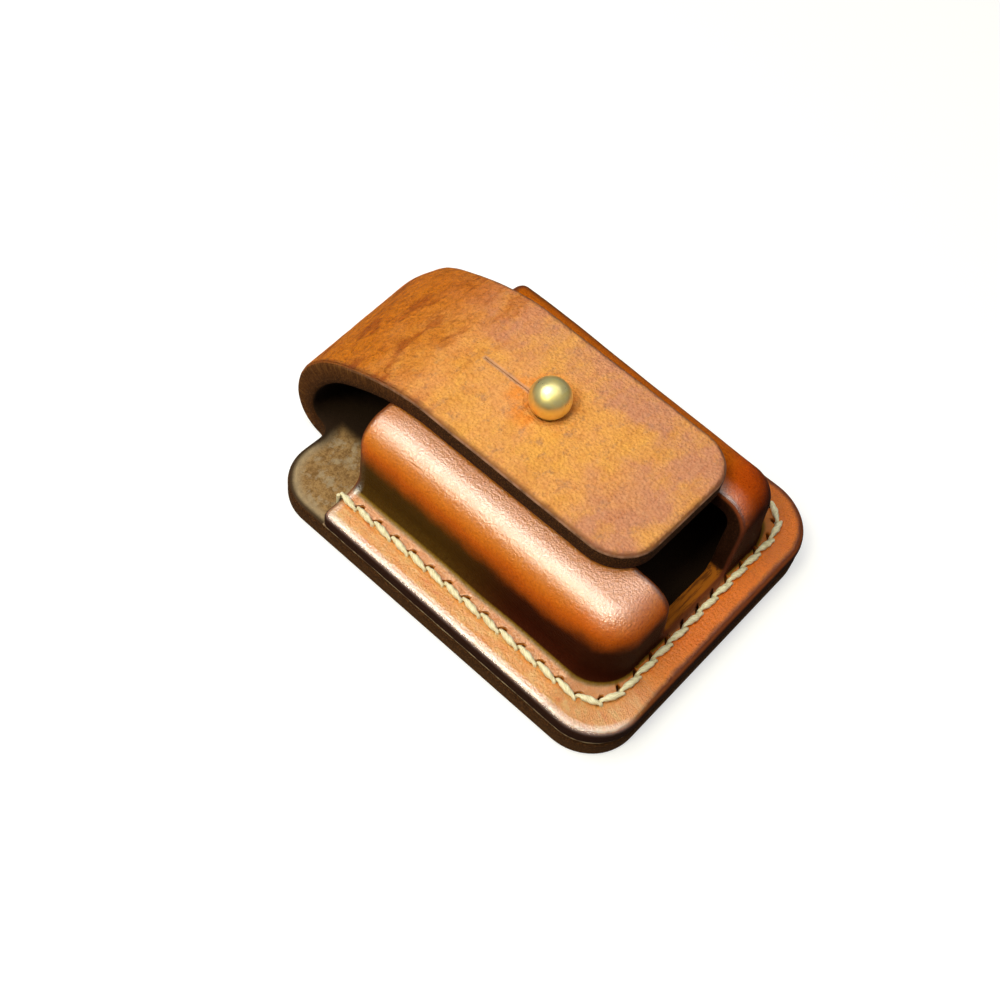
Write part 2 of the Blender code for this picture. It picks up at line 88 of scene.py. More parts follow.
@dataclass(frozen=True)
class CaseSizes:
    """Sizes of the case: those that its solids show, and the maker's own sizes within them."""

    case_half: float
    foot_y: float
    mouth_y: float
    shell_foot: float
    pocket_top: float
    flap_top: float
    tip_y: float
    fold_end_y: float
    back_leather: float
    stud_y: float
    ball_centre_z: float
    front_leather: float = 3.0 * MM
    side_margin: float = 8.5 * MM
    foot_margin: float = 6.2 * MM
    shoulder_reach: float = 11.5 * MM
    case_corner: float = 8.8 * MM
    strap_half: float = 14.95 * MM
    strap_root_half: float = 16.2 * MM
    strap_root_round: float = 2.2 * MM
    tip_corner: float = 7.5 * MM
    fold_radius: float = 8.0 * MM
    crown_round_share: float = 0.856
    flap_slope: float = math.radians(22)
    ball_radius: float = 3.5 * MM
    stitch_inset: float = 4.7 * MM
    stitch_corner: float = 5.5 * MM
    stitch_pitch: float = 4.0 * MM
    stitch_over_edge: float = 0.15 * MM
    slit_length: float = 13.5 * MM
    notch_half: float = 8.0 * MM
    notch_crown_half: float = 10.0 * MM
    notch_depth: float = 16.1 * MM
    far_corner: float = 10.6 * MM
    mouth_slant: float = 0.07
    mouth_shift: float = 0.4 * MM

    @classmethod
    def from_frame(cls) -> "CaseSizes":
        """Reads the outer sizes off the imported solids.

        Returns:
            The sizes of the case, in metres.
        """
        shell_low, shell_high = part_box("front_shell")
        flap_low, flap_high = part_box("flap")
        lips_low, lips_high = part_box("buttonhole_lips")
        stud_low, stud_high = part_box("stud_ball")
        _, fold_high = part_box("strap_fold")
        return cls(
            case_half=shell_high.x,
            foot_y=shell_low.y,
            mouth_y=shell_high.y,
            shell_foot=shell_low.z,
            pocket_top=shell_high.z,
            flap_top=flap_high.z,
            tip_y=flap_low.y,
            fold_end_y=fold_high.y,
            back_leather=lips_high.z - lips_low.z,
            stud_y=(stud_low.y + stud_high.y) / 2,
            ball_centre_z=stud_high.z - cls.ball_radius,
        )

    @property
    def flange_top(self) -> float:
        """Level of the flange's upper face."""
        return self.shell_foot + self.front_leather

    @property
    def wall_y(self) -> float:
        """Place of the pocket's wall at the closed end."""
        return self.foot_y + self.foot_margin

    @property
    def pocket_half(self) -> float:
        """Half the pocket's outer width."""
        return self.case_half - self.side_margin

    @property
    def root_y(self) -> float:
        """Place where the strap starts to bend up out of the back panel."""
        return self.fold_end_y - self.fold_radius

    def mouth_at(self, x: "float | np.ndarray") -> "float | np.ndarray":
        """Place of the front leather's slightly slanted mouth edge at x."""
        return self.mouth_y + self.mouth_shift + self.mouth_slant * x

    @property
    def shoulder_y(self) -> float:
        """Place of the back panel's edge beyond the mouth."""
        return self.mouth_y + self.shoulder_reach


def arc(centre: Sequence[float], radius: float, start: float, end: float, steps: int) -> np.ndarray:
    """Points on an arc between two angles in degrees, both ends included."""
    angle = np.radians(np.linspace(start, end, steps + 1))
    return np.stack([centre[0] + radius * np.cos(angle), centre[1] + radius * np.sin(angle)], 1)


def unit(rows: np.ndarray) -> np.ndarray:
    """The rows, each scaled to a length of 1."""
    return rows / np.linalg.norm(rows, axis=1, keepdims=True)


def run_along(points: np.ndarray) -> np.ndarray:
    """Distance of each point along the line that they make."""
    return np.concatenate([[0.0], np.cumsum(np.linalg.norm(np.diff(points, axis=0), axis=1))])


def search_tree(points: np.ndarray) -> kdtree.KDTree:
    """A search tree over points in a plane."""
    tree = kdtree.KDTree(len(points))
    for index, (x, y) in enumerate(points):
        tree.insert((x, y, 0.0), index)
    tree.balance()
    return tree


def attach(mesh: bpy.types.Mesh, name: str, values: np.ndarray) -> None:
    """Gives a mesh an attribute, with a number or a vector at each point."""
    kind, part = ("FLOAT_VECTOR", "vector") if values.ndim == 2 else ("FLOAT", "value")
    layer = mesh.attributes.new(name, kind, "POINT")
    layer.data.foreach_set(part, values.astype(np.float32).ravel())


def added(name: str, data: bpy.types.ID) -> bpy.types.Object:
    """A new object in the scene."""
    obj = bpy.data.objects.new(name, data)
    bpy.context.scene.collection.objects.link(obj)
    return obj


def resample(points: np.ndarray, spacing: float, closed: bool = True) -> np.ndarray:
    """Points at even steps along a line through the given ones.

    Args:
        points: Points of the line, one to a row, in two or three dimensions.
        spacing: The step wanted.
        closed: Whether the line runs back to its start.

    Returns:
        The evenly spaced points, without a second copy of the first one.
    """
    line = np.vstack([points, points[:1]]) if closed else points
    run = run_along(line)
    count = max(int(round(run[-1] / spacing)), 4)
    at = np.linspace(0.0, run[-1], count + (not closed), endpoint=not closed)
    return np.stack([np.interp(at, run, line[:, axis]) for axis in range(line.shape[1])], 1)


def smooth(low: float, high: float, value: np.ndarray) -> np.ndarray:
    """A smooth step from 0 at low to 1 at high."""
    share = np.clip((value - low) / (high - low), 0.0, 1.0)
    return share * share * (3.0 - 2.0 * share)


def unevenness(points: np.ndarray, size: float, seed: float) -> np.ndarray:
    """Smooth noise between about -1 and 1 at each point, with swells of a size."""
    shift = Vector((seed, seed * 0.7, seed * 1.3))
    scaled = points / size
    return np.array([noise.noise(Vector((row[0], row[1], 0.0)) + shift) for row in scaled])


def on_leather(points: np.ndarray, loops: Sequence[np.ndarray]) -> np.ndarray:
    """Whether each point lies inside the outline and outside every hole.

    Args:
        points: Places in the pattern.
        loops: The cut lines, outline and holes.

    Returns:
        One truth value to a point.
    """
    result = np.zeros(len(points), bool)
    across, up = points[:, :1], points[:, 1:]
    for loop in loops:
        ahead = np.roll(loop, -1, axis=0)
        spans = (loop[:, 1] > up) != (ahead[:, 1] > up)
        rise = ahead[:, 1] - loop[:, 1]
        slant = (ahead[:, 0] - loop[:, 0]) / np.where(rise == 0, 1.0, rise)
        crossed = spans & (across < slant * (up - loop[:, 1]) + loop[:, 0])
        result ^= crossed.sum(1) % 2 == 1
    return result


@dataclass
class CutLine:
    """One cut line of a pattern: its outline, or the rim of a hole.

    Attributes:
        points: Places along it, one to a row.
        edge_round: Radius to which its outer edge is rubbed.
        hole: Whether the leather lies outside it.
        inner_round: Radius of its inner edge, where it differs.
        wall_steps: Number of steps down its cut face.
        round_steps: Number of steps round each of its edges.
    """

    points: np.ndarray
    edge_round: float
    hole: bool = False
    wall_steps: int = 4
    round_steps: int = 4
    inner_round: "float | None" = None

    def __post_init__(self) -> None:
        """Turns the line so that the leather lies on its left."""
        ahead = np.roll(self.points, -1, axis=0)
        area = np.sum(self.points[:, 0] * ahead[:, 1] - ahead[:, 0] * self.points[:, 1])
        if (area > 0) == self.hole:
            self.points = self.points[::-1]

    def outward(self) -> np.ndarray:
        """Unit directions out of the leather, one at each point."""
        way = unit(np.roll(self.points, -1, axis=0) - np.roll(self.points, 1, axis=0))
        return np.stack([way[:, 1], -way[:, 0]], 1)

    def rows(self, thickness: float) -> list[tuple[float, float]]:
        """The cut edge's section.

        Args:
            thickness: Thickness of the leather.

        Returns:
            Pairs of inset and depth from the outer face.
        """
        outer = self.edge_round
        inner = outer if self.inner_round is None else self.inner_round
        turn = np.linspace(0.0, math.pi / 2, self.round_steps + 1)
        quarter = [(1 - math.sin(angle), 1 - math.cos(angle)) for angle in turn]
        upper = [(outer * inset, outer * depth) for inset, depth in quarter]
        lower = [(inner * inset, thickness - inner * depth) for inset, depth in reversed(quarter)]
        span = thickness - outer - inner
        wall = [(0.0, outer + span * step / self.wall_steps) for step in range(1, self.wall_steps)]
        return upper + wall + lower


class LeatherForm:
    """Shape that a flat leather is bent or moulded to."""

    thickness: float

    def place(self, pattern: np.ndarray, depth: np.ndarray) -> np.ndarray:
        """Places in space of points of the pattern, at a depth below the outer face."""
        raise NotImplementedError

    def seam_distance(self, places: np.ndarray) -> np.ndarray:
        """Distance of each place from the line of stitching, positive towards the pocket."""
        raise NotImplementedError


@dataclass
class LeatherPiece:
    """A piece of leather: a flat pattern with holes, given its thickness and its form.

    Attributes:
        name: Name of the piece.
        form: The shape that the pattern takes.
        cuts: The outline first, then the holes.
        spacing: Mesh size on the outer face.
        inner_spacing: Mesh size on the inner face.
        guides: Points that the outer face's mesh has to go through.
        rims: How many of the cut lines the attribute "rim" is measured from.
    """

    name: str
    form: LeatherForm
    cuts: list[CutLine]
    spacing: float
    inner_spacing: float
    guides: list[np.ndarray] = field(default_factory=list)
    rims: int = 1

    def face_mesh(self, loops: list[np.ndarray], spacing: float, guides: list[np.ndarray]) -> tuple:
        """Triangles that fill one face of the pattern.

        Args:
            loops: The face's rims.
            spacing: Mesh size.
            guides: Points that it has to go through.

        Returns:
            The points inside the rims, and triangles over rim points and then those.
        """
        rim = np.vstack(loops)
        low, high = rim.min(0), rim.max(0)
        rows = np.arange(low[1], high[1], spacing * math.sqrt(3) / 2)
        columns = np.arange(low[0], high[0], spacing)
        grid = [
            (x + (spacing / 2 if index % 2 else 0.0), y)
            for index, y in enumerate(rows)
            for x in columns
        ]
        fixed = self.spaced(np.vstack(guides), rim, 0.3 * spacing) if guides else np.zeros((0, 2))
        fixed = fixed[on_leather(fixed, loops)]
        free = self.spaced(np.array(grid), np.vstack([rim, fixed]), 0.62 * spacing)
        within = np.vstack([fixed, free[on_leather(free, loops)]])
        points = np.vstack([rim, within])
        edges, start = [], 0
        for loop in loops:
            count = len(loop)
            edges += [(start + i, start + (i + 1) % count) for i in range(count)]
            start += count
        scaled = [Vector(point) for point in points / MM]
        _, _, faces, origins, _, _ = delaunay_2d_cdt(scaled, edges, [], 0, 1e-6)
        first = [origin[0] if origin else -1 for origin in origins]
        faces = np.array([[first[i] for i in face] for face in faces])
        faces = faces[(faces >= 0).all(1)]
        return within, faces[on_leather(points[faces].mean(1), loops)]

    @staticmethod
    def spaced(points: np.ndarray, others: np.ndarray, gap: float) -> np.ndarray:
        """Those of the points that lie further than gap from every one of the others."""
        tree = search_tree(others)
        return np.array([p for p in points if tree.find((p[0], p[1], 0.0))[2] > gap]).reshape(-1, 2)

    def build(self) -> bpy.types.Object:
        """Makes the piece's mesh.

        Returns:
            The new object, with the pattern's coordinates and its place at rest as attributes.
        """
        thickness = self.form.thickness
        pattern, depth, faces, tops, bottoms = [], [], [], [], []
        start = 0
        for cut in self.cuts:
            out, count = cut.outward(), len(cut.points)
            section = cut.rows(thickness)
            for inset, deep in section:
                pattern.append(cut.points - out * inset)
                depth.append(np.full(count, deep))
            for row in range(len(section) - 1):
                low, high = start + row * count, start + (row + 1) * count
                faces += [
                    (low + i, low + (i + 1) % count, high + (i + 1) % count, high + i)
                    for i in range(count)
                ]
            tops.append(np.arange(start, start + count))
            bottoms.append(np.arange(start + (len(section) - 1) * count, start + len(section) * count))
            start += len(section) * count
        rims = np.vstack(pattern)
        sides = ((tops, 0.0, self.spacing, self.guides), (bottoms, thickness, self.inner_spacing, []))
        for rim, deep, spacing, guides in sides:
            within, triangles = self.face_mesh([rims[loop] for loop in rim], spacing, guides)
            index = np.concatenate([*rim, np.arange(start, start + len(within))])
            faces += [tuple(face) for face in index[triangles]]
            pattern.append(within)
            depth.append(np.full(len(within), deep))
            start += len(within)
        return self.mesh(np.vstack(pattern), np.concatenate(depth), faces)

    def mesh(self, pattern: np.ndarray, depth: np.ndarray, faces: list) -> bpy.types.Object:
        """Forms the flat piece and gives it the attributes that its finish reads.

        Args:
            pattern: Places in the pattern.
            depth: Depth of each below the outer face.
            faces: Faces over those points.

        Returns:
            The object.
        """
        places = self.form.place(pattern, depth)
        lines = np.vstack([resample(cut.points, 0.2 * MM) for cut in self.cuts[: self.rims]])
        tree = search_tree(lines)
        rim = [tree.find((x, y, 0.0))[2] for x, y in pattern]
        mesh = bpy.data.meshes.new(self.name)
        mesh.from_pydata(places.tolist(), [], [[int(i) for i in face] for face in faces])
        attach(mesh, "pattern", np.column_stack([pattern, depth / self.form.thickness]))
        attach(mesh, "rest_place", places)
        attach(mesh, "seam", self.form.seam_distance(places))
        attach(mesh, "rim", np.array(rim))
        bm = bmesh.new()
        bm.from_mesh(mesh)
        bmesh.ops.recalc_face_normals(bm, faces=bm.faces)
        bm.to_mesh(mesh)
        bm.free()
        mesh.shade_smooth()
        log.info("%s: %d vertices, %d faces", self.name, len(mesh.vertices), len(mesh.polygons))
        return added(self.name, mesh)


@dataclass(frozen=True)
class Stitch:
    """One awl hole of the seam.

    Attributes:
        point: Its place in plan.
        way: The way the seam runs there.
        out: The way towards the case's edge.
    """

    point: np.ndarray
    way: np.ndarray
    out: np.ndarray


@dataclass
class SeamLine:
    """The U of stitching round the pocket, in plan.

    Attributes:
        sizes: Sizes of the case.
        slit_long: Length of an awl slit.
        slit_wide: Width of an awl slit.
        slit_lean: How much it leans along the seam.
        slit_shift: How far its middle lies towards the pocket.
        slit_round: Radius of its rims.
        hole_across: How far a strand stands off the seam in its hole.
        hole_along: How far it stands along it.
        beside_step: Step along a line beside the seam.
    """

    sizes: CaseSizes
    slit_long: float = 2.1 * MM
    slit_wide: float = 0.8 * MM
    slit_lean: float = -0.9
    slit_shift: float = 0.62 * MM
    slit_round: float = 0.12 * MM
    hole_across: float = 0.32 * MM
    hole_along: float = -0.02 * MM
    beside_step: float = 0.8 * MM

    @property
    def half(self) -> float:
        """Half the seam's width."""
        return self.sizes.case_half - self.sizes.stitch_inset

    @property
    def foot(self) -> float:
        """The seam's place at the closed end."""
        return self.sizes.foot_y + self.sizes.stitch_inset

    def walk(self, run: float, start: float) -> tuple[np.ndarray, np.ndarray]:
        """Place and direction on the seam.

        Args:
            run: Distance along it.
            start: Where it starts, near the mouth.

        Returns:
            The point and the unit direction there.
        """
        corner = self.sizes.stitch_corner
        side, quarter = start - self.foot - corner, math.pi / 2 * corner
        across = 2 * (self.half - corner)
        if run <= side:
            return np.array([-self.half, start - run]), np.array([0.0, -1.0])
        run -= side
        if run <= quarter:
            turn = run / corner
            centre = np.array([corner - self.half, self.foot + corner])
            ray = np.array([math.cos(turn), math.sin(turn)])
            return centre - corner * ray, np.array([ray[1], -ray[0]])
        run -= quarter
        if run <= across:
            return np.array([corner - self.half + run, self.foot]), np.array([1.0, 0.0])
        run -= across
        if run <= quarter:
            turn = run / corner
            centre = np.array([self.half - corner, self.foot + corner])
            ray = np.array([math.sin(turn), -math.cos(turn)])
            return centre + corner * ray, np.array([-ray[1], ray[0]])
        return np.array([self.half, self.foot + corner + run - quarter]), np.array([0.0, 1.0])

    def total(self, start: float) -> float:
        """Length of the whole seam that starts at the given place near the mouth."""
        corner = self.sizes.stitch_corner
        side = start - self.foot - corner
        return 2 * side + math.pi * corner + 2 * (self.half - corner)

    def stitches(self) -> list[Stitch]:
        """Spaces the awl holes evenly.

        Returns:
            The holes in order, from the left of the mouth round to its right.
        """
        s = self.sizes
        start = s.mouth_y + s.stitch_over_edge
        total = self.total(start)
        count = round(total / s.stitch_pitch)
        found = []
        for index in range(count + 1):
            point, way = self.walk(total * index / count, start)
            share = (point[1] - self.foot - s.stitch_corner) / (start - self.foot - s.stitch_corner)
            point[1] += max(share, 0.0) * (s.mouth_at(point[0]) - s.mouth_y)
            found.append(Stitch(point, way, np.array([way[1], -way[0]])))
        return found

    def slit(self, stitch: Stitch) -> np.ndarray:
        """Outline of one slanted awl slit.

        Args:
            stitch: Its hole.

        Returns:
            The points in plan.
        """
        along = stitch.out + self.slit_lean * stitch.way
        along /= np.linalg.norm(along)
        beside = np.array([-along[1], along[0]])
        long, wide = self.slit_long / 2, self.slit_wide / 2
        shape = [(-long, 0), (-0.6 * long, -wide), (0, -wide), (0.6 * long, -wide)]
        shape += [(-u, -v) for u, v in shape]
        middle = stitch.point - self.slit_shift * stitch.out
        return np.array([middle + u * along + v * beside for u, v in shape])

    def cut(self, slit: np.ndarray) -> CutLine:
        """The cut through a leather along an awl slit's outline."""
        return CutLine(slit, self.slit_round, True, wall_steps=1, round_steps=1)

    def distance(self, places: np.ndarray) -> np.ndarray:
        """Distance in plan of each place from the seam, positive towards the pocket."""
        corner = self.sizes.stitch_corner
        aside = np.abs(places[:, 0]) - (self.half - corner)
        below = (self.foot + corner) - places[:, 1]
        fan = np.hypot(np.maximum(aside, 0), np.maximum(below, 0))
        inner = np.maximum(aside, below)
        return corner - np.where((aside > 0) & (below > 0), fan, inner)

    def beside(self, offset: float, end: float) -> np.ndarray:
        """Points along a line beside the seam.

        Args:
            offset: How far it lies towards the pocket.
            end: Where it ends, near the mouth.

        Returns:
            The points in plan.
        """
        total = self.total(end)
        count = int(total / self.beside_step)
        points = []
        for index in range(count + 1):
            point, way = self.walk(total * index / count, end)
            points.append(point - offset * np.array([way[1], -way[0]]))
        return np.array(points)


@dataclass(frozen=True)
class Bend:
    """One round stretch of the strap.

    Attributes:
        run: Distance along the strap at which it starts.
        centre_y: Centre of its curve.
        centre_z: Centre of its curve.
        radius: Radius of the leather's middle.
        start: Angle at which it starts.
    """

    run: float
    centre_y: float
    centre_z: float
    radius: float
    start: float


class StrapForm(LeatherForm):
    """The back leather: flat under the case, up round the fold, and back over the pocket."""

    groove_half = 1.15 * MM
    groove_depth = 1.0 * MM
    groove_side = 0.35 * MM
    groove_past_mouth = 2 * MM
    swell = 0.10 * MM
    swell_size = 9 * MM
    dish_depth = 0.55 * MM
    dish_floor = 2.2 * MM
    dish_reach = 4.6 * MM
    lip_lift = 0.12 * MM
    lip_width = 1.1 * MM
    skew = 0.085
    skew_shift = 0.22 * MM
    wrinkle = 0.05 * MM
    wrinkle_size = 1.6 * MM
    settled = 1.2 * MM
    thickened = 0.2
    far_curl = 1.5 * MM
    curl_span = (8 * MM, 17 * MM)

    def __init__(self, sizes: CaseSizes, seam: SeamLine) -> None:
        """Works out the course of the leather's middle.

        Args:
            sizes: Sizes of the case.
            seam: The line of stitching, which lies in a groove of the back.
        """
        self.sizes, self.seam = sizes, seam
        self.thickness = sizes.back_leather
        half = self.thickness / 2
        fold, slope = sizes.fold_radius, sizes.flap_slope
        rise = sizes.flap_top - fold
        crown = rise * sizes.crown_round_share
        easy = (rise - crown * math.cos(slope)) / (1 - math.cos(slope))
        crown_y = sizes.root_y + fold - crown
        self.easy_y = crown_y - (easy - crown) * math.sin(slope)
        lower_end = (fold - half) * math.pi / 2
        crown_end = lower_end + (crown - half) * (math.pi / 2 - slope)
        self.flat_run = crown_end + (easy - half) * slope
        self.bends = (
            Bend(0.0, sizes.root_y, fold, fold - half, -math.pi / 2),
            Bend(lower_end, crown_y, fold, crown - half, 0.0),
            Bend(crown_end, self.easy_y, sizes.flap_top - easy, easy - half, math.pi / 2 - slope),
        )
        self.easy_radius = easy
        self.lower_end, self.crown_end = lower_end, crown_end

    def run_of_flap(self, y: float) -> float:
        """Distance along the strap of a place on the flat of the flap."""
        return self.flat_run + self.easy_y - y

    def relief(self, pattern: np.ndarray) -> np.ndarray:
        """How far the outer face stands proud of its plain form.

        Args:
            pattern: Places in the pattern.

        Returns:
            The height at each.
        """
        x, run = pattern.T
        plan = np.stack([x, run + self.sizes.root_y], 1)
        off = np.abs(self.seam.distance(plan))
        groove = 1 - smooth(self.groove_half - self.groove_side, self.groove_half, off)
        groove *= run < self.sizes.mouth_y + self.groove_past_mouth - self.sizes.root_y
        lift = -self.groove_depth * groove
        on_flap = smooth(0.0, self.flat_run / 2, run)
        lift += self.swell * on_flap * unevenness(pattern, self.swell_size, 3.1)
        bent = smooth(0.5 * self.lower_end, self.lower_end, run)
        bent *= 1 - smooth(self.crown_end, self.flat_run + 6 * MM, run)
        lift += self.wrinkle * bent * unevenness(pattern * (0.7, 1.0), self.wrinkle_size, 5.3)
        to_stud = np.hypot(x, run - self.run_of_flap(self.sizes.stud_y))
        near = 1 - smooth(self.dish_floor, self.dish_reach, to_stud)
        ring = np.exp(-(((to_stud - self.dish_reach) / self.lip_width) ** 2))
        lift += self.lip_lift * ring - self.dish_depth * near
        return lift

    def place(self, pattern: np.ndarray, depth: np.ndarray) -> np.ndarray:
        """Bends the strap round its fold.

        Args:
            pattern: Across the strap, and along it from its root.
            depth: Depth below the outer face.

        Returns:
            The places in space.
        """
        x, run = pattern.T
        share = 1 - depth / self.thickness
        middle = (self.lower_end + self.crown_end) / 2
        bent = smooth(0.3 * self.lower_end, middle, run) * (1 - smooth(middle, self.flat_run, run))
        lift = self.thickness / 2 - depth * (1 + self.thickened * bent) + share * self.relief(pattern)
        lift -= self.far_curl * bent * smooth(*self.curl_span, x) ** 2
        y = self.sizes.root_y + run
        z = self.thickness / 2 - lift
        for bend in self.bends:
            past = run >= bend.run
            angle = bend.start + (run - bend.run) / bend.radius
            y = np.where(past, bend.centre_y + (bend.radius + lift) * np.cos(angle), y)
            z = np.where(past, bend.centre_z + (bend.radius + lift) * np.sin(angle), z)
        flat = run >= self.flat_run
        y = np.where(flat, self.easy_y - (run - self.flat_run), y)
        z = np.where(flat, self.sizes.flap_top - self.thickness / 2 + lift, z)
        askew = smooth(0.0, self.lower_end, run) * (1 - smooth(0.75 * self.crown_end, self.flat_run, run))
        y = y + askew * (self.skew_shift + self.skew * x)
        z = z - self.settled * bent
        return np.stack([x, y, z], 1)

    def seam_distance(self, places: np.ndarray) -> np.ndarray:
        """Distance from the seam on the panel, and far off on the strap."""
        return np.where(places[:, 2] > 2 * self.thickness, FAR_OFF, self.seam.distance(places))


class PocketForm(LeatherForm):
    """The front leather: a crown, a rounded edge, a wall, a crease and a flat flange."""

    edge_across = 5.0 * MM
    edge_down = 5.0 * MM
    wall_draft = 0.3 * MM
    side_crease = 2.6 * MM
    foot_crease = 1.2 * MM
    mouth_lean = 1.6 * MM
    far_lean = 0.045
    far_lean_y = -6.0 * MM
    far_side = (5 * MM, 15 * MM)
    near_end = (-5 * MM, 15 * MM)
    far_droop = 0.3
    crown_corner = 0.9 * MM
    furrow_depth = 0.14 * MM
    furrow_floor = 0.3 * MM
    furrow_half = 0.9 * MM
    furrow_top = 0.8 * MM
    swell = 0.10 * MM
    swell_size = 8 * MM
    seat_radius = 4.3 * MM
    seat_edge = 0.12 * MM
    seat_clear = 4 * MM
    seat_depth = 1.2 * MM

    def __init__(self, sizes: CaseSizes, seam: SeamLine, strap: StrapForm) -> None:
        """Works out the moulded section, from the crown out to the flange.

        Args:
            sizes: Sizes of the case.
            seam: The line of stitching.
            strap: The back leather's form, under whose flap the pocket droops.
        """
        self.sizes, self.seam = sizes, seam
        self.thickness = sizes.front_leather
        self.droop_y = strap.easy_y
        self.droop_radius = strap.easy_radius - strap.thickness
        self.wall_reach = self.edge_across + self.wall_draft
        self.crown_half = sizes.pocket_half - self.wall_reach
        self.crown_foot = sizes.wall_y + self.wall_reach
        self.side = self.section(self.side_crease)
        self.foot = self.section(self.foot_crease)

    def section(self, crease_round: float) -> np.ndarray:
        """The moulded section with one radius of crease.

        Args:
            crease_round: Radius between wall and flange.

        Returns:
            Rows of distance along it, reach out from the crown, height, and the normal's two parts.
        """
        wall, top = self.wall_reach, self.sizes.pocket_top
        turn = np.linspace(0.0, math.pi / 2, 40)
        reach, drop = self.edge_across * np.sin(turn), self.edge_down * (1 - np.cos(turn))
        edge = np.stack([reach, top - drop], 1)
        foot = self.sizes.flange_top + crease_round
        side = np.linspace((self.edge_across, top - self.edge_down), (wall, foot), 12)[1:]
        crease = arc((wall + crease_round, foot), crease_round, 180, 270, 24)[1:]
        out = np.array([(wall + crease_round + 20 * MM, self.sizes.flange_top)])
        line = np.vstack([edge, side, crease, out])
        run = run_along(line)
        way = unit(np.gradient(line, run, axis=0))
        return np.column_stack([run, line, -way[:, 1], way[:, 0]])

    def zones(self, points: np.ndarray) -> tuple[np.ndarray, np.ndarray, np.ndarray]:
        """Splits points by the nearest place on the crown's rim.

        Args:
            points: Places in plan or in the pattern.

        Returns:
            Distance out from the rim, the rim's nearest place, and the way out from it.
        """
        corner = self.crown_corner
        side = np.where(points[:, 0] < 0, -1.0, 1.0)
        aside = np.abs(points[:, 0]) - (self.crown_half - corner)
        below = (self.crown_foot + corner) - points[:, 1]
        fan = (aside > 0) & (below > 0)
        reach = np.where(fan, np.hypot(aside, below), np.maximum(aside, below))
        safe = np.where(reach == 0, 1.0, reach)
        beside = ~fan & (aside >= below)
        out_x = np.where(fan, aside / safe, beside) * side
        out_y = -np.where(fan, below / safe, ~beside)
        out = np.stack([out_x, out_y], 1)
        out_by = reach - corner
        return out_by, points - out * out_by[:, None], out

    def unfold(self, plan: np.ndarray) -> np.ndarray:
        """Places in the pattern of places on the flat flange, seen in plan."""
        out_by, rim, out = self.zones(plan)
        slack = [section[-1, 1] - section[-1, 0] for section in (self.side, self.foot)]
        run = out_by - slack[0] - (slack[1] - slack[0]) * out[:, 1] ** 2
        return rim + out * run[:, None]

    def run_at_height(self, height: float) -> float:
        """Distance down the foot's section at which the outer face has come down to a height."""
        return float(np.interp(-height, -self.foot[:-1, 2], self.foot[:-1, 0]))

    def relief(self, pattern: np.ndarray) -> np.ndarray:
        """How far the outer face stands proud of its plain form.

        Args:
            pattern: Places in the pattern.

        Returns:
            The height at each.
        """
        out_by, _, _ = self.zones(pattern)
        end = self.side[-2, 0]
        on_flange = smooth(end - 1 * MM, end, out_by)
        lift = self.swell * unevenness(pattern, self.swell_size, 7.7) * (0.4 + 0.6 * (1 - on_flange))
        to_stud = np.hypot(pattern[:, 0], pattern[:, 1] - self.sizes.stud_y)
        seat = 1 - smooth(self.seat_radius - self.seat_edge, self.seat_radius + self.seat_edge, to_stud)
        clear = smooth(self.seat_radius, self.seat_radius + self.seat_clear, to_stud)
        return lift * clear - self.seat_depth * seat

    def place(self, pattern: np.ndarray, depth: np.ndarray) -> np.ndarray:
        """Moulds the flat leather.

        Args:
            pattern: Places in the flat pattern, which matches the crown seen in plan.
            depth: Depth below the outer face.

        Returns:
            The places in space.
        """
        out_by, rim, out = self.zones(pattern)
        below = np.maximum(out_by, 0.0)
        share = out[:, 1] ** 2
        values = []
        for column in (1, 2, 3, 4):
            first = np.interp(below, self.side[:, 0], self.side[:, column])
            last = np.interp(below, self.foot[:, 0], self.foot[:, column])
            values.append(first + (last - first) * share)
        reach, level, lean_out, lean_up = values
        reach = np.where(out_by > 0, reach, out_by)
        length = np.hypot(lean_out, lean_up)
        share = 1 - depth / self.thickness
        lift = share * self.relief(pattern) - depth
        plan = rim + out * (reach + lift * lean_out / length)[:, None]
        height = level + lift * lean_up / length
        off = np.abs(self.seam.distance(plan))
        furrow = 1 - smooth(self.furrow_floor, self.furrow_half, off)
        low = self.sizes.flange_top + self.furrow_top
        height -= self.furrow_depth * furrow * share * (height < low)
        past = np.maximum(plan[:, 1] - self.droop_y, 0.0)
        drop = self.droop_radius - np.sqrt(self.droop_radius**2 - past**2)
        high = (height - self.sizes.flange_top) / (self.sizes.pocket_top - self.sizes.flange_top)
        high = np.clip(high, 0.0, 1.1)
        near = 1 - smooth(*self.near_end, plan[:, 0])
        far = smooth(*self.far_side, plan[:, 0])
        plan[:, 0] += self.far_lean * far * high * (plan[:, 1] - self.far_lean_y)
        plan[:, 1] += self.mouth_lean * far * high * smooth(5 * MM, self.sizes.mouth_y, plan[:, 1])
        drop *= high * (self.far_droop + (1 - self.far_droop) * near)
        return np.column_stack([plan, height - drop])

    def seam_distance(self, places: np.ndarray) -> np.ndarray:
        """Distance from the seam in plan, and far off on the walls and the crown."""
        high = places[:, 2] > self.sizes.flange_top + self.side_crease
        return np.where(high, FAR_OFF, self.seam.distance(places))


@dataclass(frozen=True)
class Mottle:
    """One layer of noise in a finish.

    Attributes:
        size: Size of its swells.
        detail: How many finer layers it has.
        rough: How strong these are.
        draw: How much it is squeezed along each axis, where it is.
        ramp: The smooth step that turns the noise into a share.
    """

    size: float
    detail: float = 2.0
    rough: float = 0.5
    draw: "Triple | None" = None
    ramp: Ramp = (0.0, 1.0)


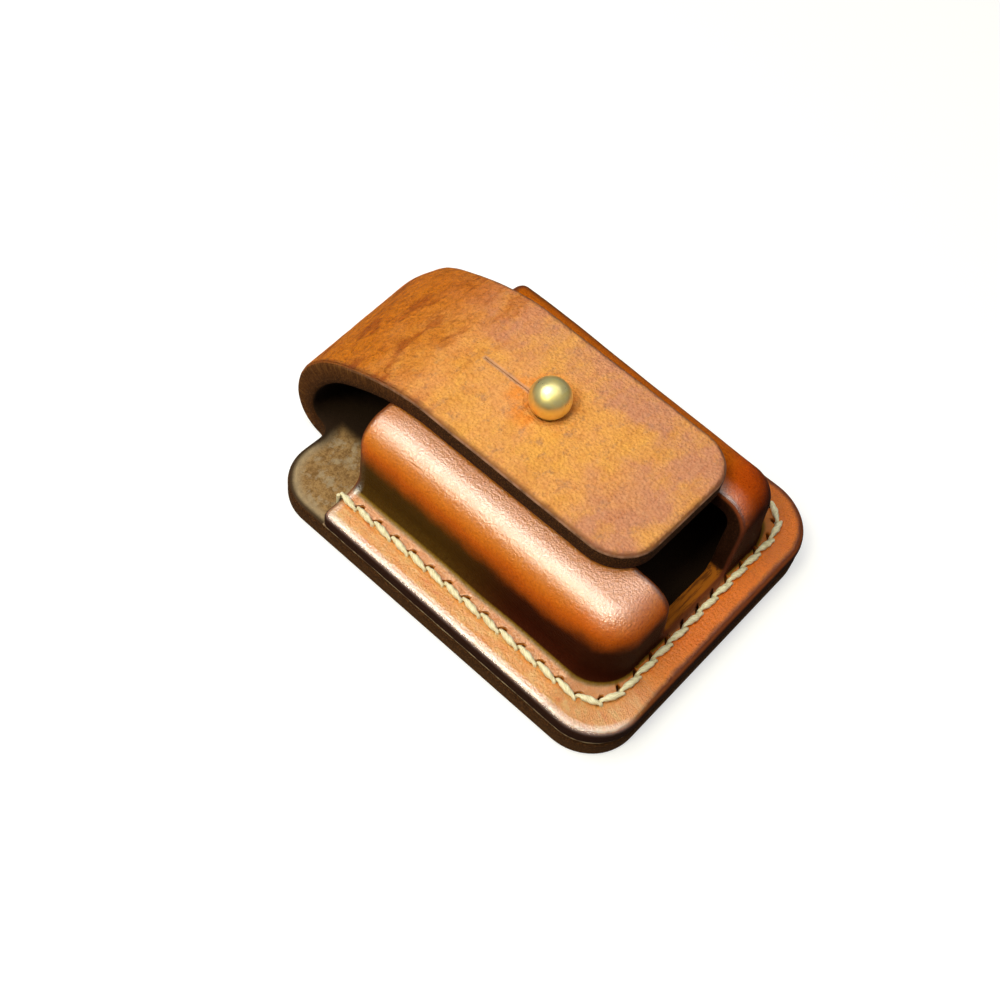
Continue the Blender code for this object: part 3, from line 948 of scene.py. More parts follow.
class Graph:
    """Node tree of one material, with short calls for the nodes that the finishes share."""

    def __init__(self, name: str) -> None:
        """Starts a material with a Principled shader.

        Args:
            name: Name of the material.
        """
        self.material = bpy.data.materials.new(name)
        self.material.use_nodes = True
        self.tree = self.material.node_tree
        self.shader = self.tree.nodes["Principled BSDF"]

    def node(self, kind: str, *fed: object, **values: object) -> bpy.types.Node:
        """Adds a node, sets its properties and feeds its first inputs in order."""
        made = self.tree.nodes.new(kind)
        for name, value in values.items():
            setattr(made, name, value)
        self.feed(made, dict(enumerate(fed)))
        return made

    def feed(self, node: bpy.types.Node, values: "dict[int | str, object]") -> None:
        """Feeds inputs of a node.

        Args:
            node: The node.
            values: Socket, number or colour for each input, by its name or number.
        """
        for key, value in values.items():
            target = node.inputs[key]
            if isinstance(value, Socket):
                self.tree.links.new(value, target)
            elif isinstance(value, (int, float)):
                target.default_value = value
            else:
                target.default_value = (*value, 1.0)[: len(target.default_value)]

    def attribute(self, name: str, number: bool = False) -> Socket:
        """The vector or the number that an attribute of the mesh holds."""
        made = self.node("ShaderNodeAttribute", attribute_name=name)
        return made.outputs["Fac" if number else "Vector"]

    def split(self, vector: Socket) -> tuple[Socket, Socket, Socket]:
        """The three parts of a vector."""
        made = self.node("ShaderNodeSeparateXYZ", vector)
        return made.outputs[0], made.outputs[1], made.outputs[2]

    def math(self, operation: str, *values: "Socket | float") -> Socket:
        """One sum on numbers."""
        return self.node("ShaderNodeMath", *values, operation=operation).outputs[0]

    def times(self, first: "Socket | float", second: "Socket | float") -> Socket:
        """The product of two numbers."""
        return self.math("MULTIPLY", first, second)

    def plus(self, first: "Socket | float", second: "Socket | float") -> Socket:
        """The sum of two numbers."""
        return self.math("ADD", first, second)

    def less(self, first: "Socket | float", second: "Socket | float") -> Socket:
        """The first number less the second."""
        return self.math("SUBTRACT", first, second)

    def most(self, first: "Socket | float", second: "Socket | float") -> Socket:
        """The larger of two numbers."""
        return self.math("MAXIMUM", first, second)

    def swayed(self, value: Socket, noise: Socket, width: float) -> Socket:
        """A value that noise shifts to and fro over a width."""
        return self.plus(value, self.times(self.less(noise, 0.5), width))

    def stretch(self, vector: Socket, scale: Sequence[float]) -> Socket:
        """A vector with each part scaled by its own number."""
        return self.node("ShaderNodeVectorMath", vector, scale, operation="MULTIPLY").outputs[0]

    def swells(self, vector: Socket, layer: Mottle) -> Socket:
        """A layer's noise between 0 and 1."""
        drawn = vector if layer.draw is None else self.stretch(vector, layer.draw)
        made = self.node("ShaderNodeTexNoise")
        self.feed(made, {"Vector": drawn, "Scale": 1 / layer.size})
        self.feed(made, {"Detail": layer.detail, "Roughness": layer.rough})
        return made.outputs["Fac"]

    def share(self, vector: Socket, layer: Mottle) -> Socket:
        """How much of a layer lies where."""
        return self.step(self.swells(vector, layer), *layer.ramp)

    def cells(self, vector: Socket, size: float) -> Socket:
        """Distance within cells of a real size in metres."""
        made = self.node("ShaderNodeTexVoronoi", feature="F1")
        self.feed(made, {"Vector": vector, "Scale": 1 / size})
        return made.outputs["Distance"]

    def step(self, value: Socket, low: float, high: float, first: float = 0.0, last: float = 1.0) -> Socket:
        """A smooth step of a value, from first at low to last at high."""
        fed = (value, low, high, first, last)
        return self.node("ShaderNodeMapRange", *fed, interpolation_type="SMOOTHSTEP").outputs[0]

    def band(self, value: Socket, centre: float, half: float, soft: float) -> Socket:
        """1 within half of the centre, and 0 beyond a soft border."""
        off = self.math("ABSOLUTE", self.less(value, centre))
        return self.step(off, half, half + soft, 1.0, 0.0)

    def mix(self, share: "Socket | float", first: object, last: object, way: str = "MIX") -> Socket:
        """The first colour with a share of the last laid over it, or multiplied in."""
        made = self.node("ShaderNodeMix", data_type="RGBA", blend_type=way)
        self.feed(made, {0: share, 6: first, 7: last})
        return made.outputs[2]

    def stain(self, share: Socket, first: Socket, last: Colour) -> Socket:
        """A colour, darkened by a share of another."""
        return self.mix(share, first, last, "MULTIPLY")

    def bump(self, height: Socket, depth: float, normal: "Socket | None" = None) -> Socket:
        """A normal bent by a height of a real depth in metres."""
        made = self.node("ShaderNodeBump")
        self.feed(made, {"Height": height, "Distance": depth})
        if normal is not None:
            self.feed(made, {"Normal": normal})
        return made.outputs[0]

    def coat(self, weight: Socket, roughness: float, ior: float, normal: Socket) -> None:
        """Lays a clear coat with its own relief over the base.

        Args:
            weight: How much of it lies where.
            roughness: Its roughness.
            ior: Its refractive index.
            normal: Its relief.
        """
        self.feed(self.shader, {"Coat Weight": weight, "Coat Roughness": roughness})
        self.feed(self.shader, {"Coat IOR": ior, "Coat Normal": normal})

    def specular(self, level: float, tint: Colour) -> None:
        """Sets the base's own gloss."""
        self.feed(self.shader, {"Specular IOR Level": level, "Specular Tint": tint})

    def finish(
        self, colour: object, roughness: object, normal: "Socket | None" = None
    ) -> bpy.types.Material:
        """Feeds the shader and returns the material."""
        self.feed(self.shader, {"Base Color": colour, "Roughness": roughness})
        if normal is not None:
            self.feed(self.shader, {"Normal": normal})
        return self.material


class Surface(Graph):
    """Node tree of a leather, with what its finish reads from the mesh.

    Attributes:
        pattern: Place in the flat pattern, and depth as a share of the thickness.
        flat: Place in the pattern alone.
        solid: Place in the pattern, and depth.
        x: Place across the pattern.
        run: Place along the pattern.
        depth: Depth as a share of the thickness.
        outer: 1 on the grain side, and 0 from a little way down the cut edge.
        seam: Distance from the stitching, positive towards the pocket.
        rim: Distance from the cut edges, along the pattern.
    """

    def __init__(self, name: str, thickness: float) -> None:
        """Starts the material.

        Args:
            name: Name of the material.
            thickness: Thickness of the leather.
        """
        super().__init__(name)
        self.pattern = self.attribute("pattern")
        self.flat = self.stretch(self.pattern, (1.0, 1.0, 0.0))
        self.solid = self.stretch(self.pattern, (1.0, 1.0, thickness))
        self.x, self.run, self.depth = self.split(self.pattern)
        self.outer = self.step(self.depth, 0.0, 0.05, 1.0, 0.0)
        self.seam = self.attribute("seam", number=True)
        self.rim = self.attribute("rim", number=True)

    @cached_property
    def places(self) -> tuple[Socket, Socket, Socket]:
        """Place at rest: across the case, along it, and up."""
        return self.split(self.attribute("rest_place"))


@dataclass(frozen=True)
class BackLeatherFinish:
    """Thick strap leather: mottled tan grain, grey suede inside and a dark burnished edge."""

    tan: Colour = (0.86, 0.40, 0.13)
    gold: Colour = (0.90, 0.44, 0.09)
    amber: Colour = (0.93, 0.26, 0.003)
    pink: Colour = (0.68, 0.31, 0.17)
    smudge: Colour = (0.34, 0.17, 0.13)
    dark: Colour = (0.46, 0.085, 0.006)
    mottled: Colour = (0.84, 0.72, 0.72)
    # Painted shade for the gaps between the bend's pebbles.
    pebble_gap_shade: Colour = (0.50, 0.30, 0.25)
    burnt: Colour = (0.15, 0.04, 0.02)
    suede: Colour = (0.42, 0.25, 0.10)
    suede_dust: Colour = (0.46, 0.37, 0.24)
    suede_dark: Colour = (0.21, 0.11, 0.04)
    # Painted shade: near black for the suede inside the pocket and the loop.
    suede_painted_shade: Colour = (0.020, 0.010, 0.005)
    edge: Colour = (0.020, 0.0055, 0.0015)
    edge_panel: Colour = (0.060, 0.022, 0.005)
    edge_fold: Colour = (0.065, 0.018, 0.002)
    edge_streak: Colour = (0.20, 0.075, 0.014)
    edge_speck: Colour = (0.24, 0.095, 0.026)
    # Painted highlight colour for the arrises and the slit's lips.
    pale_edge_highlight: Colour = (0.62, 0.32, 0.20)
    back_face: Colour = (0.46, 0.145, 0.028)
    blotches: Mottle = Mottle(15 * MM, 3.0, 0.55, ramp=(0.35, 0.7, -0.3, 0.4))
    gilding: Mottle = Mottle(10 * MM, 6.0, 0.68, (0.8, 1.1, 0.0), (0.36, 0.66))
    mottling: Mottle = Mottle(1.3 * MM, 4.0, 0.7, ramp=(0.38, 0.66, 0.0, 0.5))
    clouds: Mottle = Mottle(5 * MM, 4.0, 0.62, (0.7, 1.2, 0.0), (0.42, 0.6))
    smears: Mottle = Mottle(4.5 * MM, 4.0, 0.6, (0.45, 1.3, 0.0), (0.50, 0.64, 0.0, 0.7))
    dots: Mottle = Mottle(0.5 * MM, 4.0, 0.75, ramp=(0.40, 0.75, 0.0, 0.42))
    flecks: Mottle = Mottle(2.2 * MM, 5.0, 0.68, (0.8, 1.1, 0.0), (0.52, 0.72, 0.0, 0.55))
    pebbles: Mottle = Mottle(1.1 * MM, 4.0, 0.65, (0.8, 1.3, 0.0), (0.32, 0.68))
    wear: Mottle = Mottle(3 * MM, 3.0, 0.6, ramp=(0.35, 0.7))
    nap: Mottle = Mottle(0.7 * MM, 5.0, 0.75, ramp=(0.36, 0.64))
    dust: Mottle = Mottle(2.6 * MM, 4.0, 0.65, ramp=(0.5, 0.64, 0.0, 0.6))
    fibres: Mottle = Mottle(0.3 * MM, 4.0, 0.8, ramp=(0.46, 0.68, 0.0, 0.45))
    specks: Mottle = Mottle(0.26 * MM, 2.0, 0.6, (1.1, 1.1, 1.1), (0.63, 0.72, 0.0, 0.8))
    streaks: Mottle = Mottle(0.5 * MM, 3.0, 0.7, (0.3, 1.6, 0.16), (0.46, 0.64, 0.0, 0.8))
    far_tone: Ramp = (-1 * MM, 12 * MM, 0.0, 0.85)
    tip_tone: Ramp = (-9 * MM, -26 * MM)
    near_tone: Ramp = (-7 * MM, -15 * MM, 0.0, 1.2)
    stud_ring: Ramp = (4.2 * MM, 8 * MM, 0.6, 0.0)
    burnt_rim: Ramp = (1.2 * MM, 0.3 * MM, 0.0, 0.65)
    dusty_rim: Ramp = (3 * MM, 1.2 * MM, 0.0, 0.6)
    dark_rim: Ramp = (1.4 * MM, 0.5 * MM, 0.0, 0.9)
    strap_start: Ramp = (-2 * MM, 4 * MM)
    skin_end: Ramp = (0.02, 0.10)
    flesh_start: Ramp = (0.93, 0.985)
    bend_sway: float = 22 * MM
    rim_sway: float = 1.0 * MM
    pore_size: float = 0.55 * MM
    pore_depth: float = 0.22 * MM
    pebble_depth: float = 0.55 * MM
    nap_depth: float = 0.3 * MM
    fibre_depth: float = 0.12 * MM
    roughness: float = 0.5
    cut_roughness: float = 0.9
    gloss: float = 0.06
    coat_roughness: float = 0.38
    coat_ior: float = 1.5
    specular: float = 0.2
    specular_tint: Colour = (1.0, 0.8, 0.6)

    def grain(self, on: Surface, sizes: CaseSizes, strap: StrapForm) -> tuple[Socket, Socket]:
        """Colour of the grain side, and how much of it is bent leather.

        Args:
            on: The leather's nodes.
            sizes: Sizes of the case.
            strap: The form, for places along the strap.

        Returns:
            The colour, and the mask of the bend.
        """
        pattern, across, run = on.pattern, on.x, on.run
        cloud = on.swells(pattern, self.clouds)
        to_far = on.step(across, *self.far_tone)
        tip_start, tip_end = (strap.run_of_flap(y) for y in self.tip_tone)
        to_tip = on.step(run, tip_start, tip_end, 0.0, 0.95)
        to_near = on.times(on.step(across, *self.near_tone), to_tip)
        cool = on.most(on.most(to_far, to_tip), to_near)
        cool = on.plus(cool, on.share(on.flat, self.blotches))
        colour = on.mix(on.step(cool, 0.15, 0.75), self.tan, self.pink)
        golden = on.less(on.share(pattern, self.gilding), on.times(cool, 0.35))
        colour = on.mix(on.most(golden, 0.0), colour, self.gold)
        wavy = on.swayed(run, cloud, self.bend_sway)
        bend = on.step(wavy, strap.flat_run + 4 * MM, strap.crown_end - 3 * MM)
        colour = on.mix(on.times(bend, 0.92), colour, self.amber)
        smeared = on.times(on.share(pattern, self.smears), on.step(bend, 0.0, 0.5, 0.2, 1.0))
        colour = on.mix(smeared, colour, self.dark)
        to_stud = on.less(run, strap.run_of_flap(sizes.stud_y + 1 * MM))
        squared = on.plus(on.math("POWER", to_stud, 2.0), on.math("POWER", across, 2.0))
        ring = on.step(on.math("SQRT", squared), *self.stud_ring)
        ring = on.times(ring, on.step(cloud, *self.clouds.ramp))
        colour = on.mix(ring, colour, self.amber)
        soiled = on.times(on.share(pattern, self.flecks), on.step(bend, 0.0, 1.0, 1.0, 0.1))
        colour = on.mix(soiled, colour, self.smudge)
        colour = on.stain(on.share(on.flat, self.mottling), colour, self.mottled)
        pebble = on.swells(pattern, self.pebbles)
        # Painted shade: the gaps between the pebbles on the bend are darkened.
        pebble_gap_shade = on.times(on.step(pebble, 0.50, 0.38), bend)
        colour = on.stain(on.times(pebble_gap_shade, 0.5), colour, self.pebble_gap_shade)
        colour = on.mix(on.share(on.flat, self.dots), colour, self.dark)
        return colour, bend

    def flesh(self, on: Surface, sizes: CaseSizes, strap: StrapForm, nap: Socket) -> Socket:
        """Colour of the suede side: pale at the mouth, with painted shade that makes it near black inside
        the pocket and the loop.

        Args:
            on: The leather's nodes.
            sizes: Sizes of the case.
            strap: The form, for places along the strap.
            nap: The nap's noise.

        Returns:
            The colour.
        """
        run, seam = on.run, on.seam
        colour = on.mix(on.step(nap, *self.nap.ramp), self.suede_dark, self.suede)
        dusty = on.most(on.share(on.solid, self.dust), on.step(on.rim, *self.dusty_rim))
        colour = on.mix(dusty, colour, self.suede_dust)
        colour = on.mix(on.step(on.rim, *self.dark_rim), colour, self.edge)
        mouth = sizes.mouth_y - sizes.root_y
        # Painted shade: near black inside the pocket, under the strap's root and round the inside of the
        # loop.
        pocket_shade = on.step(run, mouth - 2 * MM, mouth - 6 * MM)
        pocket_shade = on.times(pocket_shade, on.step(seam, 1.5 * MM, 3 * MM))
        inside = on.most(on.step(run, 0.5 * MM, 5 * MM), on.step(seam, 10 * MM, 13 * MM))
        root_shade = on.times(on.step(run, -5 * MM, -1.5 * MM), on.step(seam, 4 * MM, 8 * MM))
        inside = on.most(on.most(inside, pocket_shade), root_shade)
        on_fold = on.step(run, strap.flat_run + 14 * MM, strap.flat_run - 8 * MM)
        return on.mix(on.times(inside, on_fold), colour, self.suede_painted_shade)

    def cut_edge(self, on: Surface, bend: Socket, folded: Socket, worn: Socket, fibres: Socket) -> Socket:
        """Colour of the burnished cut edge, streaked round the fold, with a painted highlight along its
        upper arris.

        Args:
            on: The leather's nodes.
            bend: The mask of the bend.
            folded: The mask of the bend, on the strap alone.
            worn: The noise of wear.
            fibres: The fibres' noise.

        Returns:
            The colour.
        """
        depth = on.depth
        colour = on.mix(folded, self.edge, self.edge_fold)
        colour = on.mix(on.step(on.run, 2 * MM, -2 * MM), colour, self.edge_panel)
        colour = on.mix(on.step(depth, 0.4, 0.9, 0.0, 0.6), colour, self.edge)
        streaked = on.times(on.share(on.solid, self.streaks), on.step(depth, 0.75, 0.1))
        colour = on.mix(on.times(streaked, folded), colour, self.edge_streak)
        colour = on.mix(on.step(fibres, *self.fibres.ramp), colour, self.edge_speck)
        colour = on.mix(on.share(on.solid, self.specks), colour, self.edge_speck)
        # Painted highlight: a pale line along the upper arris, broken up by wear and left off the bend.
        pale_edge_highlight = on.band(depth, 0.10, 0.025, 0.05)
        worn_highlight = on.times(on.step(worn, 0.35, 0.6, 0.35, 1.0), on.less(1.0, bend))
        return on.mix(on.times(on.times(pale_edge_highlight, worn_highlight), 0.6), colour, self.pale_edge_highlight)

    def material(self, sizes: CaseSizes, strap: StrapForm) -> bpy.types.Material:
        """Builds the material.

        Args:
            sizes: Sizes of the case.
            strap: The form, for places along the strap.

        Returns:
            The material.
        """
        on = Surface("back_leather_finish", strap.thickness)
        depth = on.depth
        nap, fibres = on.swells(on.solid, self.nap), on.swells(on.solid, self.fibres)
        worn = on.swells(on.solid, self.wear)
        colour, bend = self.grain(on, sizes, strap)
        on_strap = on.step(on.run, *self.strap_start)
        back = on.mix(on.step(worn, *self.wear.ramp), self.back_face, self.dark)
        colour = on.mix(on_strap, back, colour)
        uneven = on.swayed(on.rim, worn, self.rim_sway)
        colour = on.mix(on.step(uneven, *self.burnt_rim), colour, self.burnt)
        edge = self.cut_edge(on, bend, on.times(bend, on_strap), worn, fibres)
        colour = on.mix(on.step(depth, *self.skin_end), colour, edge)
        # Painted highlight: a pale line along the slit's lips.
        half_slit = sizes.slit_length / 2
        to_slit = on.less(on.run, strap.run_of_flap(sizes.stud_y) - half_slit)
        along = on.band(to_slit, 0.0, half_slit, 0.6 * MM)
        on_slit = on.times(on.band(on.x, 0.0, 0.3 * MM, 0.3 * MM), along)
        colour = on.mix(on.times(on_slit, 0.75), colour, self.pale_edge_highlight)
        flesh = self.flesh(on, sizes, strap, nap)
        colour = on.mix(on.step(depth, *self.flesh_start), colour, flesh)
        relief = on.bump(on.times(on.cells(on.flat, self.pore_size), on.outer), self.pore_depth)
        pebble = on.share(on.pattern, self.pebbles)
        relief = on.bump(on.times(pebble, on.times(bend, on.outer)), self.pebble_depth, relief)
        relief = on.bump(on.times(nap, on.step(depth, 0.9, 1.0)), self.nap_depth, relief)
        relief = on.bump(fibres, self.fibre_depth, relief)
        on.coat(on.times(on.outer, self.gloss), self.coat_roughness, self.coat_ior, relief)
        on.specular(self.specular, self.specular_tint)
        rough = on.step(depth, *self.skin_end, self.roughness, self.cut_roughness)
        return on.finish(colour, rough, relief)


@dataclass(frozen=True)
class FrontLeatherFinish:
    """Wet moulded leather: amber crown with a painted highlight, a wall that darkens to the flange, partly
    by darker dye and partly by painted shade, and a pinkish tan flange with painted sheen.
    """

    orange: Colour = (0.93, 0.29, 0.022)
    # The tan is partly a painted highlight on the crown's shoulder.
    tan: Colour = (0.93, 0.42, 0.060)
    # The middle and foot colours are partly the wall's darker dye and partly painted shade.
    middle: Colour = (0.85, 0.16, 0.006)
    foot: Colour = (0.046, 0.006, 0.0006)
    olive: Colour = (0.085, 0.040, 0.004)
    grime: Colour = (0.66, 0.46, 0.34)
    # Painted shade for the far lobe beside the flap.
    far_side_shade: Colour = (0.66, 0.48, 0.15)
    # The crease colour is partly a painted highlight: an olive line along the crease.
    crease: Colour = (0.36, 0.21, 0.02)
    strip: Colour = (0.80, 0.28, 0.05)
    flange: Colour = (0.96, 0.40, 0.085)
    # The cream is a painted highlight, streaked over the near flange.
    cream: Colour = (1.0, 0.66, 0.24)
    far_flange: Colour = (0.96, 0.23, 0.014)
    rim: Colour = (0.15, 0.035, 0.014)
    cut: Colour = (0.030, 0.009, 0.005)
    cut_speck: Colour = (0.18, 0.07, 0.025)
    lip: Colour = (0.36, 0.105, 0.008)
    # The notch colour is partly painted shade: the near black cut faces up the walls.
    notch: Colour = (0.016, 0.004, 0.001)
    # Painted shade: the inner face, seen only inside the pocket, is near black.
    suede: Colour = (0.03, 0.013, 0.006)
    clouds: Mottle = Mottle(5 * MM, 3.0, 0.6, ramp=(0.5, 0.75, 0.0, 0.35))
    dots: Mottle = Mottle(0.5 * MM, 3.0, 0.7, ramp=(0.38, 0.70, 0.0, 0.45))
    streaks: Mottle = Mottle(2.2 * MM, 4.0, 0.65, (1.6, 0.5, 0.0), (0.44, 0.66, 0.0, 0.6))
    wear: Mottle = Mottle(2.5 * MM, 3.0, 0.6)
    fibres: Mottle = Mottle(0.28 * MM, 4.0, 0.8, ramp=(0.55, 0.78, 0.0, 0.5))
    cracks: Mottle = Mottle(0.9 * MM, 4.0, 0.7, (0.12, 1.8, 1.8), (0.46, 0.62, 0.0, 0.7))
    pores: Mottle = Mottle(0.45 * MM, 3.0, 0.7, ramp=(0.3, 0.7))
    lines: Mottle = Mottle(1.0 * MM, 4.0, 0.65, (1.6, 0.5, 0.0))
    wall_sway: float = 3 * MM
    rim_sway: float = 0.8 * MM
    burnt_rim: Ramp = (1.2 * MM, 0.2 * MM, 0.0, 0.9)
    skin_end: Ramp = (0.05, 0.22)
    flesh_start: Ramp = (0.93, 0.99)
    pore_depth: float = 0.16 * MM
    line_depth: float = 0.22 * MM
    fibre_depth: float = 0.10 * MM
    polish_depth: float = 0.05 * MM
    roughness: float = 0.55
    cut_roughness: float = 0.75
    gloss: float = 1.0
    coat_roughness: float = 0.25
    coat_ior: float = 5.0
    specular: float = 0.1
    specular_tint: Colour = (1.0, 0.8, 0.6)

    def wall(self, on: Surface, cloud: Socket, low: float) -> Socket:
        """Colour of the crown and the wall: tan at the top as a painted highlight, then darker towards the
        flange, partly darker dye and partly painted shade, with more painted shade on the closed end and
        the far side.

        Args:
            on: The leather's nodes.
            cloud: The noise that makes its bands uneven.
            low: Level of the flange.

        Returns:
            The colour.
        """
        across, along, height = on.places
        # Painted shade: the dark bands reach higher on the closed end's wall, most on the far side.
        rise = on.step(across, 0.0, 18 * MM, 2 * MM, 6.5 * MM)
        end_wall_shade = on.times(on.step(along, -20 * MM, -32 * MM), rise)
        wavy = on.less(on.swayed(height, cloud, self.wall_sway), end_wall_shade)
        # Painted highlight: the top of the crown turns paler tan.
        body = on.mix(on.step(wavy, low + 14 * MM, low + 19 * MM), self.orange, self.tan)
        # Darker down the wall to the flange: partly darker dye, partly painted shade.
        body = on.mix(on.step(wavy, low + 9 * MM, low + 14 * MM), self.middle, body)
        shade = on.mix(on.step(along, -18 * MM, 2 * MM), self.foot, self.olive)
        colour = on.mix(on.step(wavy, low + 5 * MM, low + 10.5 * MM), shade, body)
        # Painted shade: the far side's outer wall turns dark.
        return on.mix(on.step(across, 19 * MM, 21.5 * MM, 0.0, 0.8), colour, self.foot)

    def ledge(self, on: Surface, cloud: Socket) -> Socket:
        """Colour of the flange: cream streaks and a paler near side that are painted sheen, and a deeper
        red-orange far side.

        Args:
            on: The leather's nodes.
            cloud: The noise that makes it uneven.

        Returns:
            The colour.
        """
        streaks = on.swells(on.pattern, self.streaks)
        # Painted highlight: cream streaks over the flange.
        colour = on.mix(on.step(streaks, *self.streaks.ramp), self.flange, self.cream)
        # Painted sheen: the near side stays pale, the far side turns deeper red-orange.
        colour = on.mix(on.step(on.places[0], -27 * MM, -6 * MM), colour, self.far_flange)
        colour = on.mix(on.step(cloud, *self.clouds.ramp), colour, self.orange)
        colour = on.mix(on.step(streaks, 0.42, 0.34, 0.0, 0.45), colour, self.middle)
        inner = on.step(on.seam, 0.3 * MM, 0.9 * MM)
        return on.mix(on.times(inner, 0.7), colour, self.strip)

    def grain(self, on: Surface, sizes: CaseSizes) -> Socket:
        """Colour of the grain side, from the crown down the wall to the flange.

        Args:
            on: The leather's nodes.
            sizes: Sizes of the case.

        Returns:
            The colour.
        """
        low = sizes.flange_top
        across, _, height = on.places
        cloud = on.swells(on.flat, self.clouds)
        on_flat = on.step(height, low + 0.35 * MM, low + 0.05 * MM)
        colour = on.mix(on_flat, self.wall(on, cloud, low), self.ledge(on, cloud))
        # Painted highlight: a thin olive line along the crease at the wall's foot.
        crease = on.band(height, low + 0.3 * MM, 0.05 * MM, 0.2 * MM)
        colour = on.mix(on.times(crease, 0.7), colour, self.crease)
        # Painted shade: the far lobe's raised part is darkened.
        raised = on.step(height, low, low + 2 * MM)
        lobe_in_shade = on.times(on.step(across, 9 * MM, 15 * MM), raised)
        colour = on.stain(lobe_in_shade, colour, self.far_side_shade)
        return on.stain(on.share(on.flat, self.dots), colour, self.grime)

    def cut_edge(self, on: Surface, fibres: Socket, low: float) -> Socket:
        """Colour of the cut edges: dark outside, lighter on the notch's lip, and near black up the walls,
        partly dark burnish and partly painted shade.

        Args:
            on: The leather's nodes.
            fibres: The fibres' noise.
            low: Level of the flange.

        Returns:
            The colour.
        """
        inside = on.step(on.seam, 0.2 * MM, 0.8 * MM)
        lying = on.step(on.places[2], low + 1.1 * MM, low + 1.9 * MM)
        # Painted shade: the cut faces up the walls, as in the notch, are near black.
        colour = on.mix(inside, self.cut, on.mix(lying, self.lip, self.notch))
        colour = on.mix(on.share(on.solid, self.cracks), colour, self.cut)
        return on.mix(on.step(fibres, *self.fibres.ramp), colour, self.cut_speck)

    def shine(self, on: Surface, low: float) -> Socket:
        """How waxed the leather is: the near lobe and the near edge of the flange most of all.

        Args:
            on: The leather's nodes.
            low: Level of the flange.

        Returns:
            The share of gloss.
        """
        across, _, height = on.places
        crown = on.step(height, low + 11 * MM, low + 17 * MM)
        crown = on.times(crown, on.step(across, 8 * MM, 14 * MM, 1.0, 0.0))
        to_near = on.step(across, -14 * MM, -22 * MM, 0.08, 0.2)
        on_flange = on.times(on.step(height, low + 0.4 * MM, low), to_near)
        shine = on.times(on.most(crown, on_flange), on.outer)
        near = on.step(across, -20 * MM, -26 * MM)
        near_rim = on.times(on.step(on.rim, 2.2 * MM, 1.2 * MM), near)
        outside = on.step(on.depth, 0.05, 0.3, 0.75, 0.0)
        return on.times(on.most(shine, on.times(near_rim, outside)), self.gloss)

    def material(self, sizes: CaseSizes) -> bpy.types.Material:
        """Builds the material.

        Args:
            sizes: Sizes of the case.

        Returns:
            The material.
        """
        on = Surface("front_leather_finish", sizes.front_leather)
        depth, low = on.depth, sizes.flange_top
        worn, fibres = on.swells(on.solid, self.wear), on.swells(on.solid, self.fibres)
        colour = self.grain(on, sizes)
        uneven = on.swayed(on.rim, worn, self.rim_sway)
        # Painted shade: the dark burnished rim is made wider away from the near side.
        uneven = on.less(uneven, on.step(on.places[0], -26 * MM, -10 * MM, 0.0, 0.6 * MM))
        colour = on.mix(on.step(uneven, *self.burnt_rim), colour, self.rim)
        cut = self.cut_edge(on, fibres, low)
        colour = on.mix(on.step(depth, *self.skin_end), colour, cut)
        # Painted shade: the inner face is made near black.
        colour = on.mix(on.step(depth, *self.flesh_start), colour, self.suede)
        pores = on.share(on.flat, self.pores)
        lines = on.swells(on.pattern, self.lines)
        relief = on.bump(on.times(pores, on.outer), self.pore_depth)
        relief = on.bump(on.times(lines, on.outer), self.line_depth, relief)
        relief = on.bump(fibres, self.fibre_depth, relief)
        polish = on.bump(lines, self.polish_depth, on.bump(pores, self.polish_depth))
        on.coat(self.shine(on, low), self.coat_roughness, self.coat_ior, polish)
        on.specular(self.specular, self.specular_tint)
        rough = on.step(depth, 0.02, 0.1, self.roughness, self.cut_roughness)
        return on.finish(colour, rough, relief)


@dataclass(frozen=True)
class ThreadFinish:
    """Thick waxed thread, cream with faint fibres."""

    cream: Colour = (0.97, 0.91, 0.66)
    shade: Colour = (0.64, 0.55, 0.28)
    fibres: Mottle = Mottle(0.9 * MM, 3.0, 0.6, (6.0, 1.0, 1.0), (0.35, 0.6))
    grime: Mottle = Mottle(2.0 * MM, 2.0, ramp=(0.55, 0.8, 0.0, 0.5))
    fibre_depth: float = 0.06 * MM
    roughness: float = 0.55
    wax: float = 0.1

    def material(self) -> bpy.types.Material:
        """Builds the material.

        Returns:
            The material.
        """
        graph = Graph("waxed_thread_finish")
        fibre = graph.swells(graph.attribute("pattern"), self.fibres)
        grime = graph.share(graph.attribute("rest_place"), self.grime)
        colour = graph.mix(graph.step(fibre, *self.fibres.ramp), self.shade, self.cream)
        colour = graph.mix(grime, colour, self.shade)
        graph.feed(graph.shader, {"Coat Weight": self.wax})
        return graph.finish(colour, self.roughness, graph.bump(fibre, self.fibre_depth))


@dataclass(frozen=True)
class BrassFinish:
    """Turned and polished brass."""

    bright: Colour = (0.95, 0.84, 0.38)
    warm: Colour = (0.78, 0.63, 0.19)
    clouds: Mottle = Mottle(1.6 * MM, 3.0, ramp=(0.4, 0.7, 0.0, 0.6))
    lines: Mottle = Mottle(0.08 * MM, 2.0, draw=(0.03, 0.03, 1.0))
    line_depth: float = 0.002 * MM
    roughness: float = 0.34
    metallic: float = 0.95

    def material(self) -> bpy.types.Material:
        """Builds the material.

        Returns:
            The material.
        """
        graph = Graph("brass_finish")
        place = graph.attribute("rest_place")
        cloud = graph.swells(place, self.clouds)
        colour = graph.mix(graph.step(cloud, *self.clouds.ramp), self.bright, self.warm)
        rough = graph.step(cloud, 0.3, 0.7, self.roughness * 0.8, self.roughness * 1.4)
        graph.feed(graph.shader, {"Metallic": self.metallic})
        return graph.finish(colour, rough, graph.bump(graph.swells(place, self.lines), self.line_depth))


